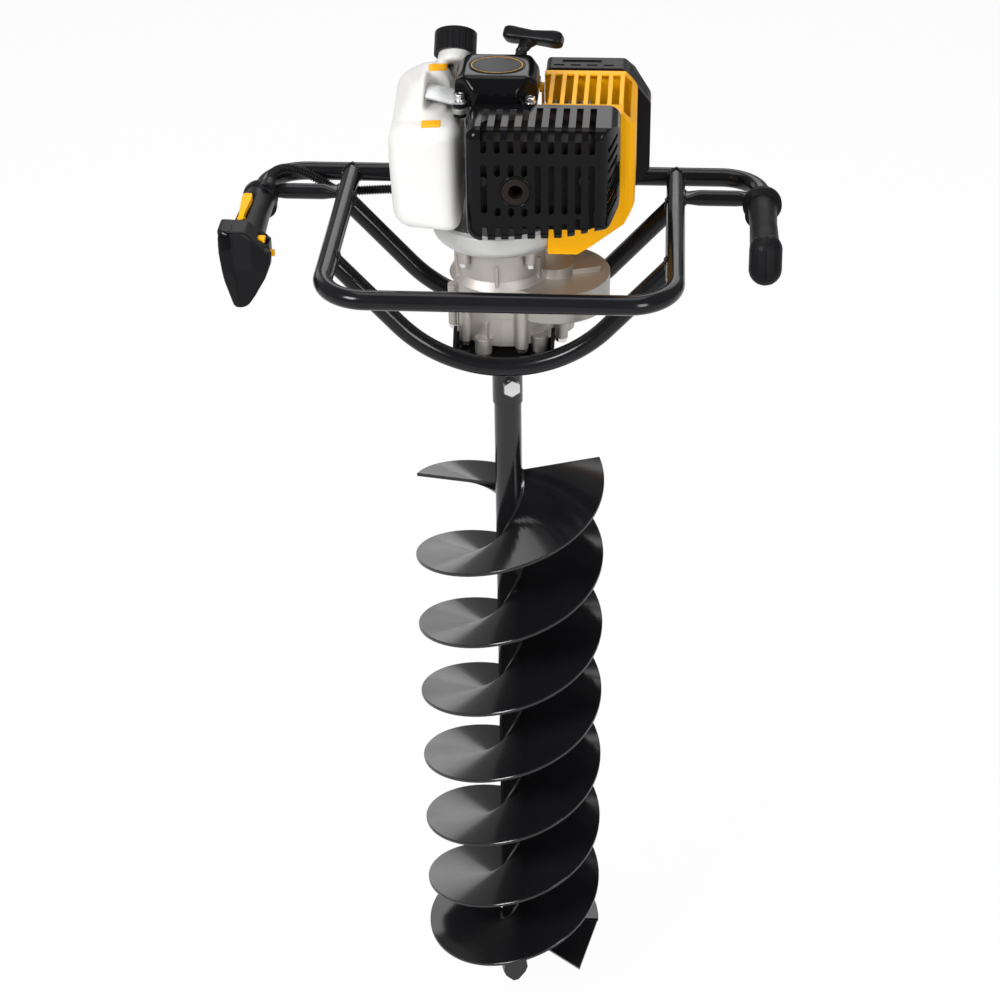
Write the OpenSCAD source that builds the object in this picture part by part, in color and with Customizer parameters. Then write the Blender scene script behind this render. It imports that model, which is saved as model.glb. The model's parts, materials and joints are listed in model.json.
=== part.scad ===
// Petrol earth auger for one operator: a twin-flight drill bit under a reduction gear case, a two-stroke
// engine with a vertical crank on top of it, and a welded tube frame with two handles around it.
// Millimetres, +Z up. The origin is the lowest point of the bit. The muffler faces -Y, the tank -X.

/* [Drill bit] */
// Outer diameter of the flights
bit_d = 200; // [150:10:260]
// Outer diameter of the drill tube
tube_d = 28; // [26:1:34]
// Rise of one flight in a full turn
flight_lead = 183; // [150:1:220]
// Turns of each flight, a whole number of half turns
flight_turns = 3.5; // [2.5:0.5:4.5]
// Thickness of the flight plate
flight_t = 4; // [3:0.5:6]
// Height at which the flights' lower ends would start without their flat foot
flight_foot_z = 75; // [70:1:110]
// How far the flat foot is lifted
flight_foot_lift = 25; // [0:1:30]
// Length of the centre point below the tube
point_len = 60; // [50:1:70]
// Length of bare tube above the flights
neck_len = 152.5; // [110:0.5:200]
// Slope of the cutter blades in degrees
blade_slope = 26; // [15:1:40]
// Thickness of the cutter blades
blade_t = 5; // [4:0.5:8]
// Diameter of the coupling bolt
coupling_bolt_d = 10; // [8:1:10]
// Distance of the coupling bolt below the tube's top
coupling_bolt_drop = 28; // [22:1:40]

/* [Handle frame] */
// Diameter of the frame tubes
frame_d = 19; // [17:0.5:21]
// Wall of the frame tubes
frame_wall = 2; // [1.5:0.25:3]
// Half distance between the two handles
handle_x = 252; // [240:1:280]
// Distance of the handlebar behind the bit's axis
bar_y = 128; // [126:1:140]
// Distance of the front bar before the bit's axis
front_y = 151; // [135:1:175]
// Half distance between the two posts of the front loop
post_x = 166; // [160:1:180]
// Bend radius of the handlebar
bar_bend_r = 40; // [30:1:45]
// Bend radius of the front loop
loop_bend_r = 45; // [30:1:60]
// Height of the handle plane above the lowest cradle axis
frame_rise = 117; // [112:1:125]
// Distance of each cradle tube from the bit's axis
cradle_y = 65; // [63:0.5:72]
// Slope of the cradle legs in degrees
cradle_slope = 48; // [45:1:50]
// Diameter of the short brace tubes
brace_d = 16; // [14:0.5:18]
// Distance of the brace tubes behind the bit's axis
brace_y = 79.3; // [79.3:0.1:82]
// Half width of the saddle
saddle_half_w = 50; // [47:1:56]
// Plate thickness of the saddle
saddle_t = 3.5; // [2.5:0.5:4]
// Height of the saddle's side flanges
saddle_flange_h = 22; // [12:1:30]

/* [Gear case] */
// Height of the case's feet above the saddle
foot_h = 7.5; // [6:0.5:12]
// Height of the lower half of the case
lower_case_h = 30; // [28:1:36]
// Height of the upper half of the case
upper_case_h = 31; // [31:1:38]
// Wall round the gears
case_wall = 5; // [4:0.5:6]
// Height of the clutch housing above the case
clutch_h = 39; // [39:1:46]
// Outer radius of the clutch housing
clutch_r = 45; // [45:0.5:48]
// Length of the bearing boss below the saddle's top
boss_len = 24.5; // [24.5:0.5:34]
// Number of stiffening ribs round the clutch housing
clutch_ribs = 6; // [4:1:9]

/* [Gears] */
// Module of the first gear pair
module_1 = 1.5; // [1.4:0.05:1.5]
// Teeth of the input pinion
teeth_in = 10; // [10:1:11]
// Teeth of the idler's large gear
teeth_idler = 62; // [60:1:62]
// Module of the second gear pair
module_2 = 2; // [1.9:0.05:2]
// Teeth of the idler's pinion
teeth_small = 9; // [9:1:10]
// Teeth of the output gear
teeth_out = 39; // [38:1:39]
// Play between the flanks of two teeth
backlash = 0.3; // [0.2:0.05:0.5]
// Diameter of the output shaft
shaft_d = 20; // [18:1:20]

/* [Engine] */
// Radius of the fan housing
fan_r = 66; // [64:1:70]
// Height of the fan housing
fan_h = 25; // [25:1:34]
// Wall of the fan housing
fan_wall = 3; // [2.5:0.5:4]
// Radius of the crankcase
crankcase_r = 31; // [30:0.5:32]
// Height of the crankcase
crankcase_h = 122; // [120:1:130]
// Cylinder bore
bore_d = 44; // [38:1:46]
// Width of the cooling fins
fin_w = 72; // [64:1:72]
// Number of cooling fins
fin_count = 8; // [5:1:9]
// Width of the recoil starter
starter_w = 79; // [74:1:82]
// Height of the recoil starter
starter_h = 29; // [27:1:36]
// Spacing of the starter's bolts
starter_bolt_pitch = 66; // [64:1:67]
// Diameter of the starter's rope pulley
pulley_d = 56; // [48:1:56]

/* [Covers] */
// Wall of the moulded covers
cover_wall = 2.2; // [1.6:0.2:3]
// Wall of the muffler guard
guard_wall = 1.5; // [1.2:0.1:2]
// Number of slots across the guard
guard_slots = 9; // [9:1:9]
// Spacing of the guard's slots
guard_pitch = 12.4; // [11:0.2:12.6]
// Width of a guard slot
guard_slot_w = 6; // [4:0.5:7]
// Number of slots in the shroud's grille
grille_slots = 8; // [4:1:8]
// Width of a grille slot
grille_slot_w = 7; // [4:0.5:8]
// Right side of the cylinder shroud, from the bit's axis
shroud_x = 126; // [124:1:130]
// Depth of the air cleaner cover
air_depth = 36; // [34:1:44]
// Number of louvres on the air cleaner cover
louvre_count = 4; // [2:1:5]

/* [Fuel tank] */
// Left side of the tank, from the bit's axis
tank_x = 106; // [100:1:112]
// Height of the tank
tank_h = 133; // [130:1:136]
// Wall of the tank
tank_wall = 2.5; // [2:0.25:3.5]
// Diameter of the filler neck
neck_d = 33; // [30:1:34]
// Lean of the filler neck in degrees
neck_lean = 45; // [42:1:48]
// Diameter of the filler cap
cap_d = 41; // [39:1:44]
// Height of the filler cap
cap_h = 22; // [20:1:26]
// Number of flutes round the filler cap
cap_flutes = 20; // [12:1:28]

/* [Controls] */
// Diameter of the grips
grip_d = 31; // [30:0.5:33]
// Outer diameter of the throttle conduit's ribs
conduit_d = 9.6; // [8:0.2:10]
// Number of ribs on the throttle conduit
conduit_ribs = 150; // [60:1:200]
// Swing of the throttle trigger in degrees
trigger_swing = 16; // [10:1:18]

/* [Fits] */
// Radial play of a shaft in its bearing
run_gap = 0.05; // [0.03:0.01:0.1]
// Gap at a welded or bolted seam
seam = 0.05; // [0.02:0.01:0.1]
// Gap between pieces that move past each other
clear = 0.4; // [0.3:0.05:0.6]

/* [Hidden] */
$fn = 48;
e = 1;
m6_r = 3;
m8_r = 4;

// Bit, from the tip upwards
tube_r = tube_d / 2;
bit_r = bit_d / 2;
shaft_r = shaft_d / 2;
flight_top_a = flight_turns * 360;
flight_top_z = flight_foot_z + flight_lead * flight_turns;
tube_top_z = flight_top_z + neck_len;
bolt_z = tube_top_z - coupling_bolt_drop;
bolt_azimuth = 286;
shaft_foot_z = bolt_z - 40;

// Height chain of the gear case and the engine
boss_z = tube_top_z + 4;
saddle_z = boss_z + boss_len;
case_z = saddle_z + foot_h;
split_z = case_z + lower_case_h;
case_top_z = split_z + upper_case_h;
fan_z = case_top_z + clutch_h;
fan_top_z = fan_z + fan_h;
crank_z = fan_top_z + 63;
starter_z = fan_top_z + crankcase_h;
starter_top_z = starter_z + starter_h;

// Frame
frame_r = frame_d / 2;
cradle_z = saddle_z - saddle_t - 2;
frame_z = cradle_z + frame_rise;
cradle_bend_r = (post_x - frame_rise / tan(cradle_slope))
    / (sin(cradle_slope) - (1 - cos(cradle_slope)) / tan(cradle_slope));
left_bar_y = -58;
right_bar_y = -50;

// Gears stand on the X axis, the crank off the bit's axis by the difference of the two pairs
idler_x = module_2 * (teeth_small + teeth_out) / 2;
crank_x = idler_x - module_1 * (teeth_in + teeth_idler) / 2;
addendum = 0.8;
dedendum = 1.05;
pressure = 25;
out_room_r = module_2 * (teeth_out / 2 + addendum) + 2.4;
idler_room_r = module_1 * (teeth_idler / 2 + addendum) + 2.3;
small_room_r = module_2 * (teeth_small / 2 + addendum) + 3.4;
floor_z = case_z + 4;
bulge_floor_z = split_z + 4;
roof_z = case_top_z - 4;
out_gear_z = floor_z + 5;
out_gear_w = split_z - out_gear_z - 3;
small_z = floor_z + 4.5;
small_w = split_z - small_z - 2.5;
idler_gear_z = bulge_floor_z + 2;
idler_gear_w = 12;
input_z = idler_gear_z - 1;
input_w = 14;
hub_z = case_top_z - 10;
hub_top_z = case_top_z + 7;
drum_z = case_top_z + 10;
drum_r = clutch_r - 6.5;
drum_wall = 2.5;
drum_top_z = fan_z - 4;
case_bolts = [[-38, -33], [18, -47.5], [56, -24], [-38, 33], [18, 47.5], [56, 24], [-52, 0]];
case_feet = [[-20, -45], [35, -37], [-20, 45], [35, 37]];
clutch_lugs = [50, 130, 230, 310];
clutch_lug_r = clutch_r + 5.2;
out_bearing_r = 21;
out_bearing_w = 12;
small_journal_r = 4;
big_journal_r = 5;
input_r = 6;
input_bearing_r = 14;

// Engine
crank_r = 7.5;
crank_bearing_r = 17.5;
crank_bearing_w = 11;
web_r = 25;
fan_cut_x = 43;
plate_t = 4;
flywheel_z = fan_z + 7;
shoe_z = drum_z + 7;
shoe_h = 14;
deck_x = crank_x + crankcase_r + 5;
head_x = deck_x + 58;
starter_c = starter_bolt_pitch / 2;
starter_half = starter_w / 2;
pulley_r = pulley_d / 2;
pulley_z = starter_z + 7;
rope_r = 1.75;
rope_at = [20, 33, 19];
rope_lean = 45;
handle_off = 25;

// Guard, muffler, shroud, intake
guard_x0 = -30;
guard_x1 = 112;
guard_z0 = fan_top_z + 21;
guard_z1 = starter_z + 9;
guard_front_y = -105;
guard_back_y = -45;
outlet_x = 17;
outlet_z = guard_z0 + 49;
outlet_r = 13.7;
muffler_y0 = -98;
muffler_y1 = -50;
muffler_bosses = [[-14, guard_z1 - 52], [80, guard_z1 - 50]];
shroud_y0 = -44;
shroud_y1 = 61;
shroud_z0 = fan_z + 1;
shroud_z1 = starter_z - 1;
carb_x0 = 36;
carb_x1 = 72;
carb_y0 = 50;
carb_y1 = 72;
cable_y = 62;
cable_z = crank_z - 4;
air_y0 = carb_y1 + seam;
air_t = 4;
air_y1 = air_y0 + air_t + air_depth;
air_z0 = fan_z - 4;
air_z1 = starter_z - 3;
air_outline = [[36, air_z0], [108, air_z0], [139, air_z0 + 42], [139, air_z1 - 36], [112, air_z1], [36, air_z1]];

// Tank
tank_z0 = fan_top_z + plate_t + 3;
tank_z1 = tank_z0 + tank_h;
tank_x1 = 38;
tank_y = 60;
tank_front = tank_y + 10;
tank_step_x = 51;
tank_step_z = starter_z - 9;
tank_notch_x = -73;
filler = [-50, 41.8, tank_z1 - 8.2];
neck_top = 24;
cap_skirt = 13;

// Controls
grip_r = grip_d / 2;
left_grip_y = 70;
right_grip_y = 69;
trigger_at = [-handle_x, -36, frame_z - grip_r - 4];
trigger_w = 9;
lock_at = [-handle_x - 6, -14, frame_z + 14];
switch_at = [-handle_x + 23, -66, frame_z + 13];

// The conduit's route from the left grip to the carburettor: points chosen by hand
conduit_route = [
    [-handle_x + 9, left_grip_y - 7, frame_z + 13.5], [-handle_x + 9, left_grip_y + 8, frame_z + 13.5],
    [-handle_x + 11, left_grip_y + 25, frame_z + 13.5], [-handle_x + 21, left_grip_y + 37, frame_z + 12],
    [-215, bar_y - 16, frame_z + 6], [-197, bar_y - 15, frame_z - 4], [-184, bar_y - 14, frame_z - 13],
    [-post_x, bar_y - 13, frame_z - 15.5], [-post_x + 18, bar_y - 11, frame_z - 15.5],
    [-125, bar_y - 9, frame_z - 15], [-100, bar_y - 10, frame_z - 14],
    [-70, 112, frame_z - 8], [-50, 100, frame_z + 7], [-35, 88, frame_z + 27], [-20, 76, frame_z + 52],
    [-4, cable_y + 5, cable_z - 5], [12, cable_y, cable_z], [carb_x0 - 12 - seam, cable_y, cable_z]
];

// Points on a circle from one angle to another
function arc(c, r, a0, a1, n) = [for (i = [0:n]) let (a = a0 + (a1 - a0) * i / n) c + r * [cos(a), sin(a)]];

// A polygon with each corner rounded, at most as far as its shorter side allows
function rounded(p, r, n = 5) = [for (i = [0:len(p) - 1])
    let (a = p[(i + len(p) - 1) % len(p)], b = p[i], c = p[(i + 1) % len(p)],
        u = (a - b) / norm(a - b), v = (c - b) / norm(c - b), half = acos(u * v) / 2,
        q = min(r, 0.48 * min(norm(a - b), norm(c - b)) * tan(half)),
        o = b + (u + v) / norm(u + v) * q / sin(half), f = b + u * q / tan(half) - o,
        a0 = atan2(f[1], f[0]), turn = (180 - 2 * half) * (cross(u, v) < 0 ? 1 : -1))
    each [for (k = [0:n]) o + q * [cos(a0 + turn * k / n), sin(a0 + turn * k / n)]]];

function rect(x0, y0, x1, y1) = [[x0, y0], [x1, y0], [x1, y1], [x0, y1]];

// Outline of a belt round two circles on the X axis
function belt(r1, r2, d, n = 20) = let (a = acos((r1 - r2) / d))
    concat(arc([d, 0], r2, -a, a, n), arc([0, 0], r1, a, 360 - a, n));

module hex_bar(flats, h) {
    cylinder(d = flats / cos(30), h = h, $fn = 6);
}

// Extrusions along each axis; the profile lies in the other two
module prism_x(p, x0, x1) {
    translate([x0, 0, 0]) rotate([90, 0, 90]) linear_extrude(x1 - x0) polygon(p);
}

module prism_y(p, y0, y1) {
    translate([0, y1, 0]) rotate([90, 0, 0]) linear_extrude(y1 - y0) polygon(p);
}

module prism_z(p, z0, z1) {
    translate([0, 0, z0]) linear_extrude(z1 - z0) polygon(p);
}

// Round bars along each axis
module rod_x(r, x0, x1) {
    translate([x0, 0, 0]) rotate([0, 90, 0]) cylinder(r = r, h = x1 - x0);
}

module rod_y(r, y0, y1) {
    translate([0, y1, 0]) rotate([90, 0, 0]) cylinder(r = r, h = y1 - y0);
}

module rod_z(r, z0, z1) {
    translate([0, 0, z0]) cylinder(r = r, h = z1 - z0);
}

module ring(r_out, r_in, z0, z1) {
    difference() {
        rod_z(r_out, z0, z1);
        rod_z(r_in, z0 - e, z1 + e);
    }
}

// A slot with round ends seen from the front, cut from y0 to y1
module slot_y(x, z0, z1, w, y0, y1) {
    translate([x - w / 2, y0, z0 + w / 2]) cube([w, y1 - y0, z1 - z0 - w]);
    for (z = [z0 + w / 2, z1 - w / 2]) translate([x, 0, z]) rod_y(w / 2, y0, y1, $fn = 16);
}

// A round rod through points in the XY plane, with bends of one radius
module bent_rod(p, bend, r) {
    n = len(p);
    turn = [for (i = [1:n - 2]) let (u = p[i] - p[i - 1], v = p[i + 1] - p[i]) atan2(cross(u, v), u * v)];
    lead = [for (i = [0:n - 1]) i == 0 || i == n - 1 ? 0 : bend * tan(abs(turn[i - 1]) / 2)];
    for (i = [0:n - 2]) {
        u = (p[i + 1] - p[i]) / norm(p[i + 1] - p[i]);
        a = p[i] + u * lead[i];
        translate([a[0], a[1], 0]) rotate([0, 90, atan2(u[1], u[0])])
            cylinder(r = r, h = norm(p[i + 1] - p[i]) - lead[i] - lead[i + 1]);
    }
    for (i = [1:n - 2]) {
        u = (p[i] - p[i - 1]) / norm(p[i] - p[i - 1]);
        s = turn[i - 1] > 0 ? 1 : -1;
        c = p[i] - u * lead[i] + s * bend * [-u[1], u[0]];
        start = atan2(u[1], u[0]) - s * 90 - (s > 0 ? 0 : abs(turn[i - 1]));
        translate([c[0], c[1], 0]) rotate([0, 0, start])
            rotate_extrude(angle = abs(turn[i - 1])) translate([bend, 0]) circle(r = r);
    }
}

module bent_tube(p, bend, r, wall) {
    difference() {
        bent_rod(p, bend, r);
        bent_rod(p, bend, r - wall);
    }
}

// Involute gears: one tooth on +X
function involute(rb, t) = rb * [cos(t) + t * PI / 180 * sin(t), sin(t) - t * PI / 180 * cos(t)];
function flank(rb, r0, r1, n) = [for (i = [0:n])
    let (r = r0 + (r1 - r0) * i / n, t = sqrt(max(pow(r / rb, 2) - 1, 0)) * 180 / PI) involute(rb, t)];
function gear_outline(m, z, n = 3) = let (
    rp = m * z / 2, rb = rp * cos(pressure), ra = rp + addendum * m, rf = rp - dedendum * m,
    half = 90 / z - backlash / rp / 4 * 180 / PI + tan(pressure) * 180 / PI - pressure,
    f = flank(rb, max(rb, rf), ra, n))
    [for (k = [0:z - 1]) let (c = 360 * k / z) each concat(
        rf < rb ? [rf * [cos(c - half), sin(c - half)]] : [],
        [for (q = f) let (a = atan2(q[1], q[0]) - half + c) norm(q) * [cos(a), sin(a)]],
        [for (i = [n:-1:0]) let (q = f[i], a = c + half - atan2(q[1], q[0])) norm(q) * [cos(a), sin(a)]],
        rf < rb ? [rf * [cos(c + half), sin(c + half)]] : [])];

module gear(m, z, z0, w, turn) {
    translate([0, 0, z0]) rotate([0, 0, turn]) linear_extrude(w) polygon(gear_outline(m, z));
}

module at_crank() {
    translate([crank_x, 0, 0]) children();
}

// A body stretched over balls: [x, y, z, radius]
module over_balls(balls, less = 0, fn = 16) {
    hull()
        for (b = balls)
            translate([b[0], b[1], b[2]]) sphere(r = b[3] - less, $fn = fn);
}

// Drill bit

function flight_z(a) = flight_foot_z + flight_lead * a / 360 + flight_foot_lift * pow(max(0, 1 - a / 90), 2);

module flight(foot_angle, more) {
    step = 10;
    n = (flight_top_a + more) / step;
    inner = tube_r + seam;
    h = flight_t / 2;
    section = [[inner, -h], [bit_r, -h], [bit_r, h], [inner, h]];
    points = [for (i = [0:n], s = section) let (a = i * step)
        [s[0] * cos(foot_angle + a), s[0] * sin(foot_angle + a), flight_z(a) + s[1]]];
    sides = [for (i = [0:n - 1], k = [0:3]) let (p = 4 * i + k, q = 4 * i + (k + 1) % 4)
        each [[p, q + 4, q], [p, p + 4, q + 4]]];
    first = [[0, 1, 2], [0, 2, 3]];
    last = [for (t = [[0, 2, 1], [0, 3, 2]]) [for (k = t) k + 4 * n]];
    polyhedron(points, concat(first, sides, last));
}

module auger_flight_a() {
    color("#15151a") flight(0, -10);
}

module auger_flight_b() {
    color("#15151a") flight(180, 20);
}

module cross_bore(r) {
    translate([0, 0, bolt_z]) rotate([0, 0, bolt_azimuth]) rod_x(r, -tube_d, tube_d);
}

module auger_tube() {
    socket_len = 53;
    color("#17171b") difference() {
        union() {
            rod_z(tube_r, point_len, tube_top_z);
            rod_z(tube_r + 1.5, tube_top_z - socket_len, tube_top_z);
        }
        rod_z(shaft_r + run_gap, point_len - e, tube_top_z + e);
        cross_bore(coupling_bolt_d / 2 + run_gap);
    }
}

// A flat blade welded to the end of a flight, running forward and down from it
module cutter_blade() {
    run = bit_r * 0.62;
    outline = [[tube_r + 10, -1.6], [bit_r - 1, -1.6], [bit_r * 0.8, -run], [tube_r + 16, -run * 0.52]];
    translate([0, 0, flight_foot_z + flight_foot_lift]) rotate([blade_slope, 0, 0])
        translate([0, 0, -blade_t / 2]) linear_extrude(blade_t) polygon(outline);
}

module cutter_blades() {
    color("#202024") for (a = [0, 180]) rotate([0, 0, a]) cutter_blade();
}

module centre_point() {
    half_t = 4;
    spread = tube_r + 1;
    outline = [[-tube_r * 0.8, point_len - 5], [-tube_r * 0.9, point_len * 0.6], [-spread, point_len * 0.3],
        [-spread + 3, point_len * 0.17], [-3, 0], [3, 0], [spread - 3, point_len * 0.17],
        [spread, point_len * 0.3], [tube_r * 0.9, point_len * 0.6], [tube_r * 0.8, point_len - 5]];
    color("#1d1d21") {
        rod_z(shaft_r - seam, point_len - 4, point_len + 30);
        rotate([0, 0, 20]) prism_y(outline, -half_t, half_t);
        translate([0, 0, point_len - 18]) cylinder(r1 = half_t + 2, r2 = tube_r, h = 18);
    }
}

module coupling_bolt() {
    flats = 16;
    head_h = 7;
    nut_h = 8;
    shank_r = coupling_bolt_d / 2;
    seat = tube_r + 1.5 + seam;
    color("#c9cbcd") translate([0, 0, bolt_z]) rotate([0, 0, bolt_azimuth]) {
        rod_x(shank_r, -seat - nut_h - 3, seat + 1);
        translate([seat, 0, 0]) rotate([0, 90, 0]) hex_bar(flats, head_h);
        translate([-seat - nut_h, 0, 0]) rotate([0, 90, 0]) difference() {
            hex_bar(flats, nut_h);
            rod_z(shank_r + run_gap, -e, nut_h + e);
        }
    }
}

module output_shaft() {
    color("#a9abae") difference() {
        rod_z(shaft_r, shaft_foot_z, split_z - 1);
        cross_bore(coupling_bolt_d / 2 + run_gap);
    }
}

module output_gear() {
    web_r = module_2 * teeth_out / 2 - 6;
    color("#8f9194") difference() {
        gear(module_2, teeth_out, out_gear_z, out_gear_w, 0);
        rod_z(shaft_r + seam, out_gear_z - e, out_gear_z + out_gear_w + e);
        for (z = [out_gear_z - e, out_gear_z + out_gear_w - 4]) ring(web_r, shaft_r + 6, z, z + 4 + e);
    }
}

// Handle frame

module handlebar() {
    path = [[-handle_x, left_bar_y], [-handle_x, bar_y], [handle_x, bar_y], [handle_x, right_bar_y]];
    color("#141416") translate([0, 0, frame_z]) bent_tube(path, bar_bend_r, frame_r, frame_wall);
}

module front_loop() {
    path = [[-post_x, bar_y], [-post_x, -front_y], [post_x, -front_y], [post_x, bar_y]];
    color("#141416") translate([0, 0, frame_z]) difference() {
        bent_tube(path, loop_bend_r, frame_r, frame_wall);
        translate([0, bar_y, 0]) rod_x(frame_r + seam, -handle_x, handle_x);
    }
}

// A bent tube that carries the saddle and runs up to both posts; its legs enter the bend by a little
module cradle_rod(r) {
    knee = [cradle_bend_r * sin(cradle_slope), cradle_bend_r * (1 - cos(cradle_slope))];
    leg = (post_x - knee[0]) / cos(cradle_slope);
    translate([0, cradle_bend_r, 0]) rotate([0, 0, -90 - cradle_slope])
        rotate_extrude(angle = 2 * cradle_slope) translate([cradle_bend_r, 0]) circle(r = r);
    translate([knee[0], knee[1], 0]) rotate([0, 90, cradle_slope])
        rod_z(r - seam, -e, leg);
    translate([-knee[0], knee[1], 0]) rotate([0, 90, 180 - cradle_slope])
        rod_z(r - seam, -e, leg);
}

module cradle_tube(y) {
    difference() {
        translate([0, y, cradle_z]) rotate([90, 0, 0]) difference() {
            cradle_rod(frame_r);
            cradle_rod(frame_r - frame_wall);
        }
        for (x = [-post_x, post_x]) translate([x, 0, frame_z]) rod_y(frame_r + seam, -front_y, bar_y);
    }
}

module front_cradle_tube() {
    color("#141416") cradle_tube(-cradle_y);
}

module rear_cradle_tube() {
    color("#141416") cradle_tube(cradle_y);
}

// A short tube with its ends pressed flat, between a post and a handle
module brace(side) {
    flat_h = 9;
    x0 = post_x + frame_r;
    x1 = handle_x - frame_r;
    r = brace_d / 2;
    squeeze = 15;
    difference() {
        translate([0, brace_y, frame_z]) scale([side, 1, 1]) hull() {
            rod_x(r, x0 + squeeze, x1 - squeeze, $fn = 24);
            for (x = [x0 - 4, x1 - 1]) translate([x, -r - 1, -flat_h / 2]) cube([5, brace_d + 2, flat_h]);
        }
        translate([side * post_x, 0, frame_z]) rod_y(frame_r + seam, -front_y, bar_y);
        translate([side * handle_x, 0, frame_z]) rod_y(frame_r + seam, left_bar_y, bar_y);
    }
}

module left_brace() {
    color("#141416") brace(-1);
}

module right_brace() {
    color("#141416") brace(1);
}

module saddle() {
    depth = cradle_y - frame_r - 0.1;
    w = saddle_half_w;
    t = saddle_t;
    top = saddle_z;
    high = top + saddle_flange_h;
    profile = concat([[-w, high]], arc([-w + 6, top - t + 6], 6, 180, 270, 5),
        arc([w - 6, top - t + 6], 6, 270, 360, 5), [[w, high], [w - t, high]],
        arc([w - 6, top - t + 6], 6 - t, 360, 270, 5), arc([-w + 6, top - t + 6], 6 - t, 270, 180, 5),
        [[-w + t, high]]);
    side = rounded([[-depth, top - t - e], [depth, top - t - e], [depth, top + 5], [depth - 16, high],
        [-depth + 16, high], [-depth, top + 5]], 8);
    color("#1a1a1d") difference() {
        intersection() {
            prism_y(profile, -depth - e, depth + e);
            prism_x(side, -w - e, w + e);
        }
        translate([-w - e, -33.5, top + 2]) cube([2 * w + 2 * e, 67, saddle_flange_h]);
        rod_z(out_bearing_r + 4.3, top - t - e, top + e);
        for (p = case_feet) translate([p[0], p[1], 0]) rod_z(m8_r + 0.2, top - t - e, top + e);
    }
}

module saddle_bolts() {
    head_h = 5.3;
    color("#3a3b3e") for (p = case_feet) translate([p[0], p[1], saddle_z - saddle_t]) {
        translate([0, 0, -head_h - seam]) hex_bar(13, head_h);
        rod_z(m8_r, -e, saddle_t + foot_h + 2);
    }
}

// Gear case

module lower_gear_case() {
    outer = belt(out_room_r + case_wall, small_room_r + case_wall + 1, idler_x);
    inner = belt(out_room_r, small_room_r, idler_x);
    color("#c6c4c0") difference() {
        union() {
            prism_z(outer, case_z, split_z);
            rod_z(out_bearing_r + 4, boss_z, case_z + e);
            for (p = case_bolts) translate([p[0], p[1], 0]) rod_z(2 * m6_r + 0.5, case_z, split_z);
            for (p = case_feet) translate([p[0], p[1], 0]) rod_z(m8_r + 4.5, saddle_z + seam, case_z + 9);
            for (a = [150, 200, 250, 285]) rotate([0, 0, a])
                translate([out_room_r, -1.5, case_z]) cube([case_wall + 3, 3, lower_case_h - 5]);
        }
        prism_z(inner, floor_z, split_z + e);
        rod_z(out_bearing_r, boss_z + 4, floor_z + e);
        rod_z(out_bearing_r - 4, boss_z - e, boss_z + 5);
        for (p = case_bolts) translate([p[0], p[1], 0]) rod_z(m6_r + 0.1, case_z - e, split_z + e);
        for (p = case_feet) translate([p[0], p[1], 0]) rod_z(m8_r + 0.1, saddle_z - e, case_z + 3);
        translate([idler_x, 0, 0]) rod_z(7, case_z + 1, floor_z + e);
    }
}

module upper_gear_case() {
    rib_h = clutch_h - 13;
    color("#c9c7c3") difference() {
        union() {
            rod_z(out_room_r + case_wall, split_z, case_top_z);
            translate([idler_x, 0, 0]) rod_z(idler_room_r + case_wall, split_z, case_top_z);
            for (p = case_bolts) translate([p[0], p[1], 0]) rod_z(2 * m6_r + 0.5, split_z, split_z + 14);
            translate([idler_x, 0, 0]) rod_z(20, case_top_z - e, case_top_z + 10);
            prism_z([[idler_x + 16, -9], [idler_x + 46, 0], [idler_x + 16, 9]], case_top_z - e, case_top_z + 5);
            at_crank() {
                rod_z(clutch_r, case_top_z - e, fan_z);
                translate([0, 0, case_top_z - e]) cylinder(r1 = clutch_r + 5, r2 = clutch_r, h = 9);
                rod_z(input_bearing_r + 5, hub_z, case_top_z);
                for (a = clutch_lugs) rotate([0, 0, a]) translate([clutch_lug_r, 0, 0]) rod_z(5.5, fan_z - 12, fan_z);
                for (i = [0:clutch_ribs - 1]) rotate([0, 0, i * 360 / clutch_ribs - 90])
                    translate([clutch_r - 2, -1.5, case_top_z]) cube([4.5, 3, rib_h]);
            }
        }
        translate([idler_x, 0, 0]) {
            rod_z(idler_room_r, bulge_floor_z, roof_z);
            rod_z(small_room_r, split_z - e, bulge_floor_z + e);
            rod_z(10, roof_z - e, case_top_z + 5);
        }
        at_crank() {
            rod_z(module_1 * (teeth_in / 2 + 1) + 3, bulge_floor_z, hub_z + e);
            difference() {
                rod_z(clutch_r - 4, roof_z + 4, fan_z + e);
                rod_z(input_bearing_r + 5, roof_z, hub_top_z);
            }
            rod_z(input_bearing_r, hub_z - e, hub_top_z + e);
            for (a = clutch_lugs) rotate([0, 0, a]) translate([clutch_lug_r, 0, 0]) rod_z(2.6, fan_z - 13, fan_z + e);
        }
        for (p = case_bolts) translate([p[0], p[1], 0]) rod_z(m6_r + 0.1, split_z - e, split_z + 3.3);
    }
}

module gear_case_bolts() {
    head_h = 4.5;
    color("#9a9c9f") {
        for (p = case_bolts) translate([p[0], p[1], case_z - head_h - seam]) {
            hex_bar(10, head_h);
            rod_z(m6_r, head_h - e, head_h + lower_case_h + 3);
        }
        at_crank() for (a = clutch_lugs) rotate([0, 0, a]) translate([clutch_lug_r, 0, fan_z - 12 - head_h - seam]) {
            hex_bar(8, head_h);
            rod_z(2.5, head_h - e, head_h + 12 + fan_wall);
        }
    }
}

module output_seal() {
    color("#1c1c1e") ring(out_bearing_r - 4 - seam, shaft_r + run_gap, boss_z, boss_z + 4);
}

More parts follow.
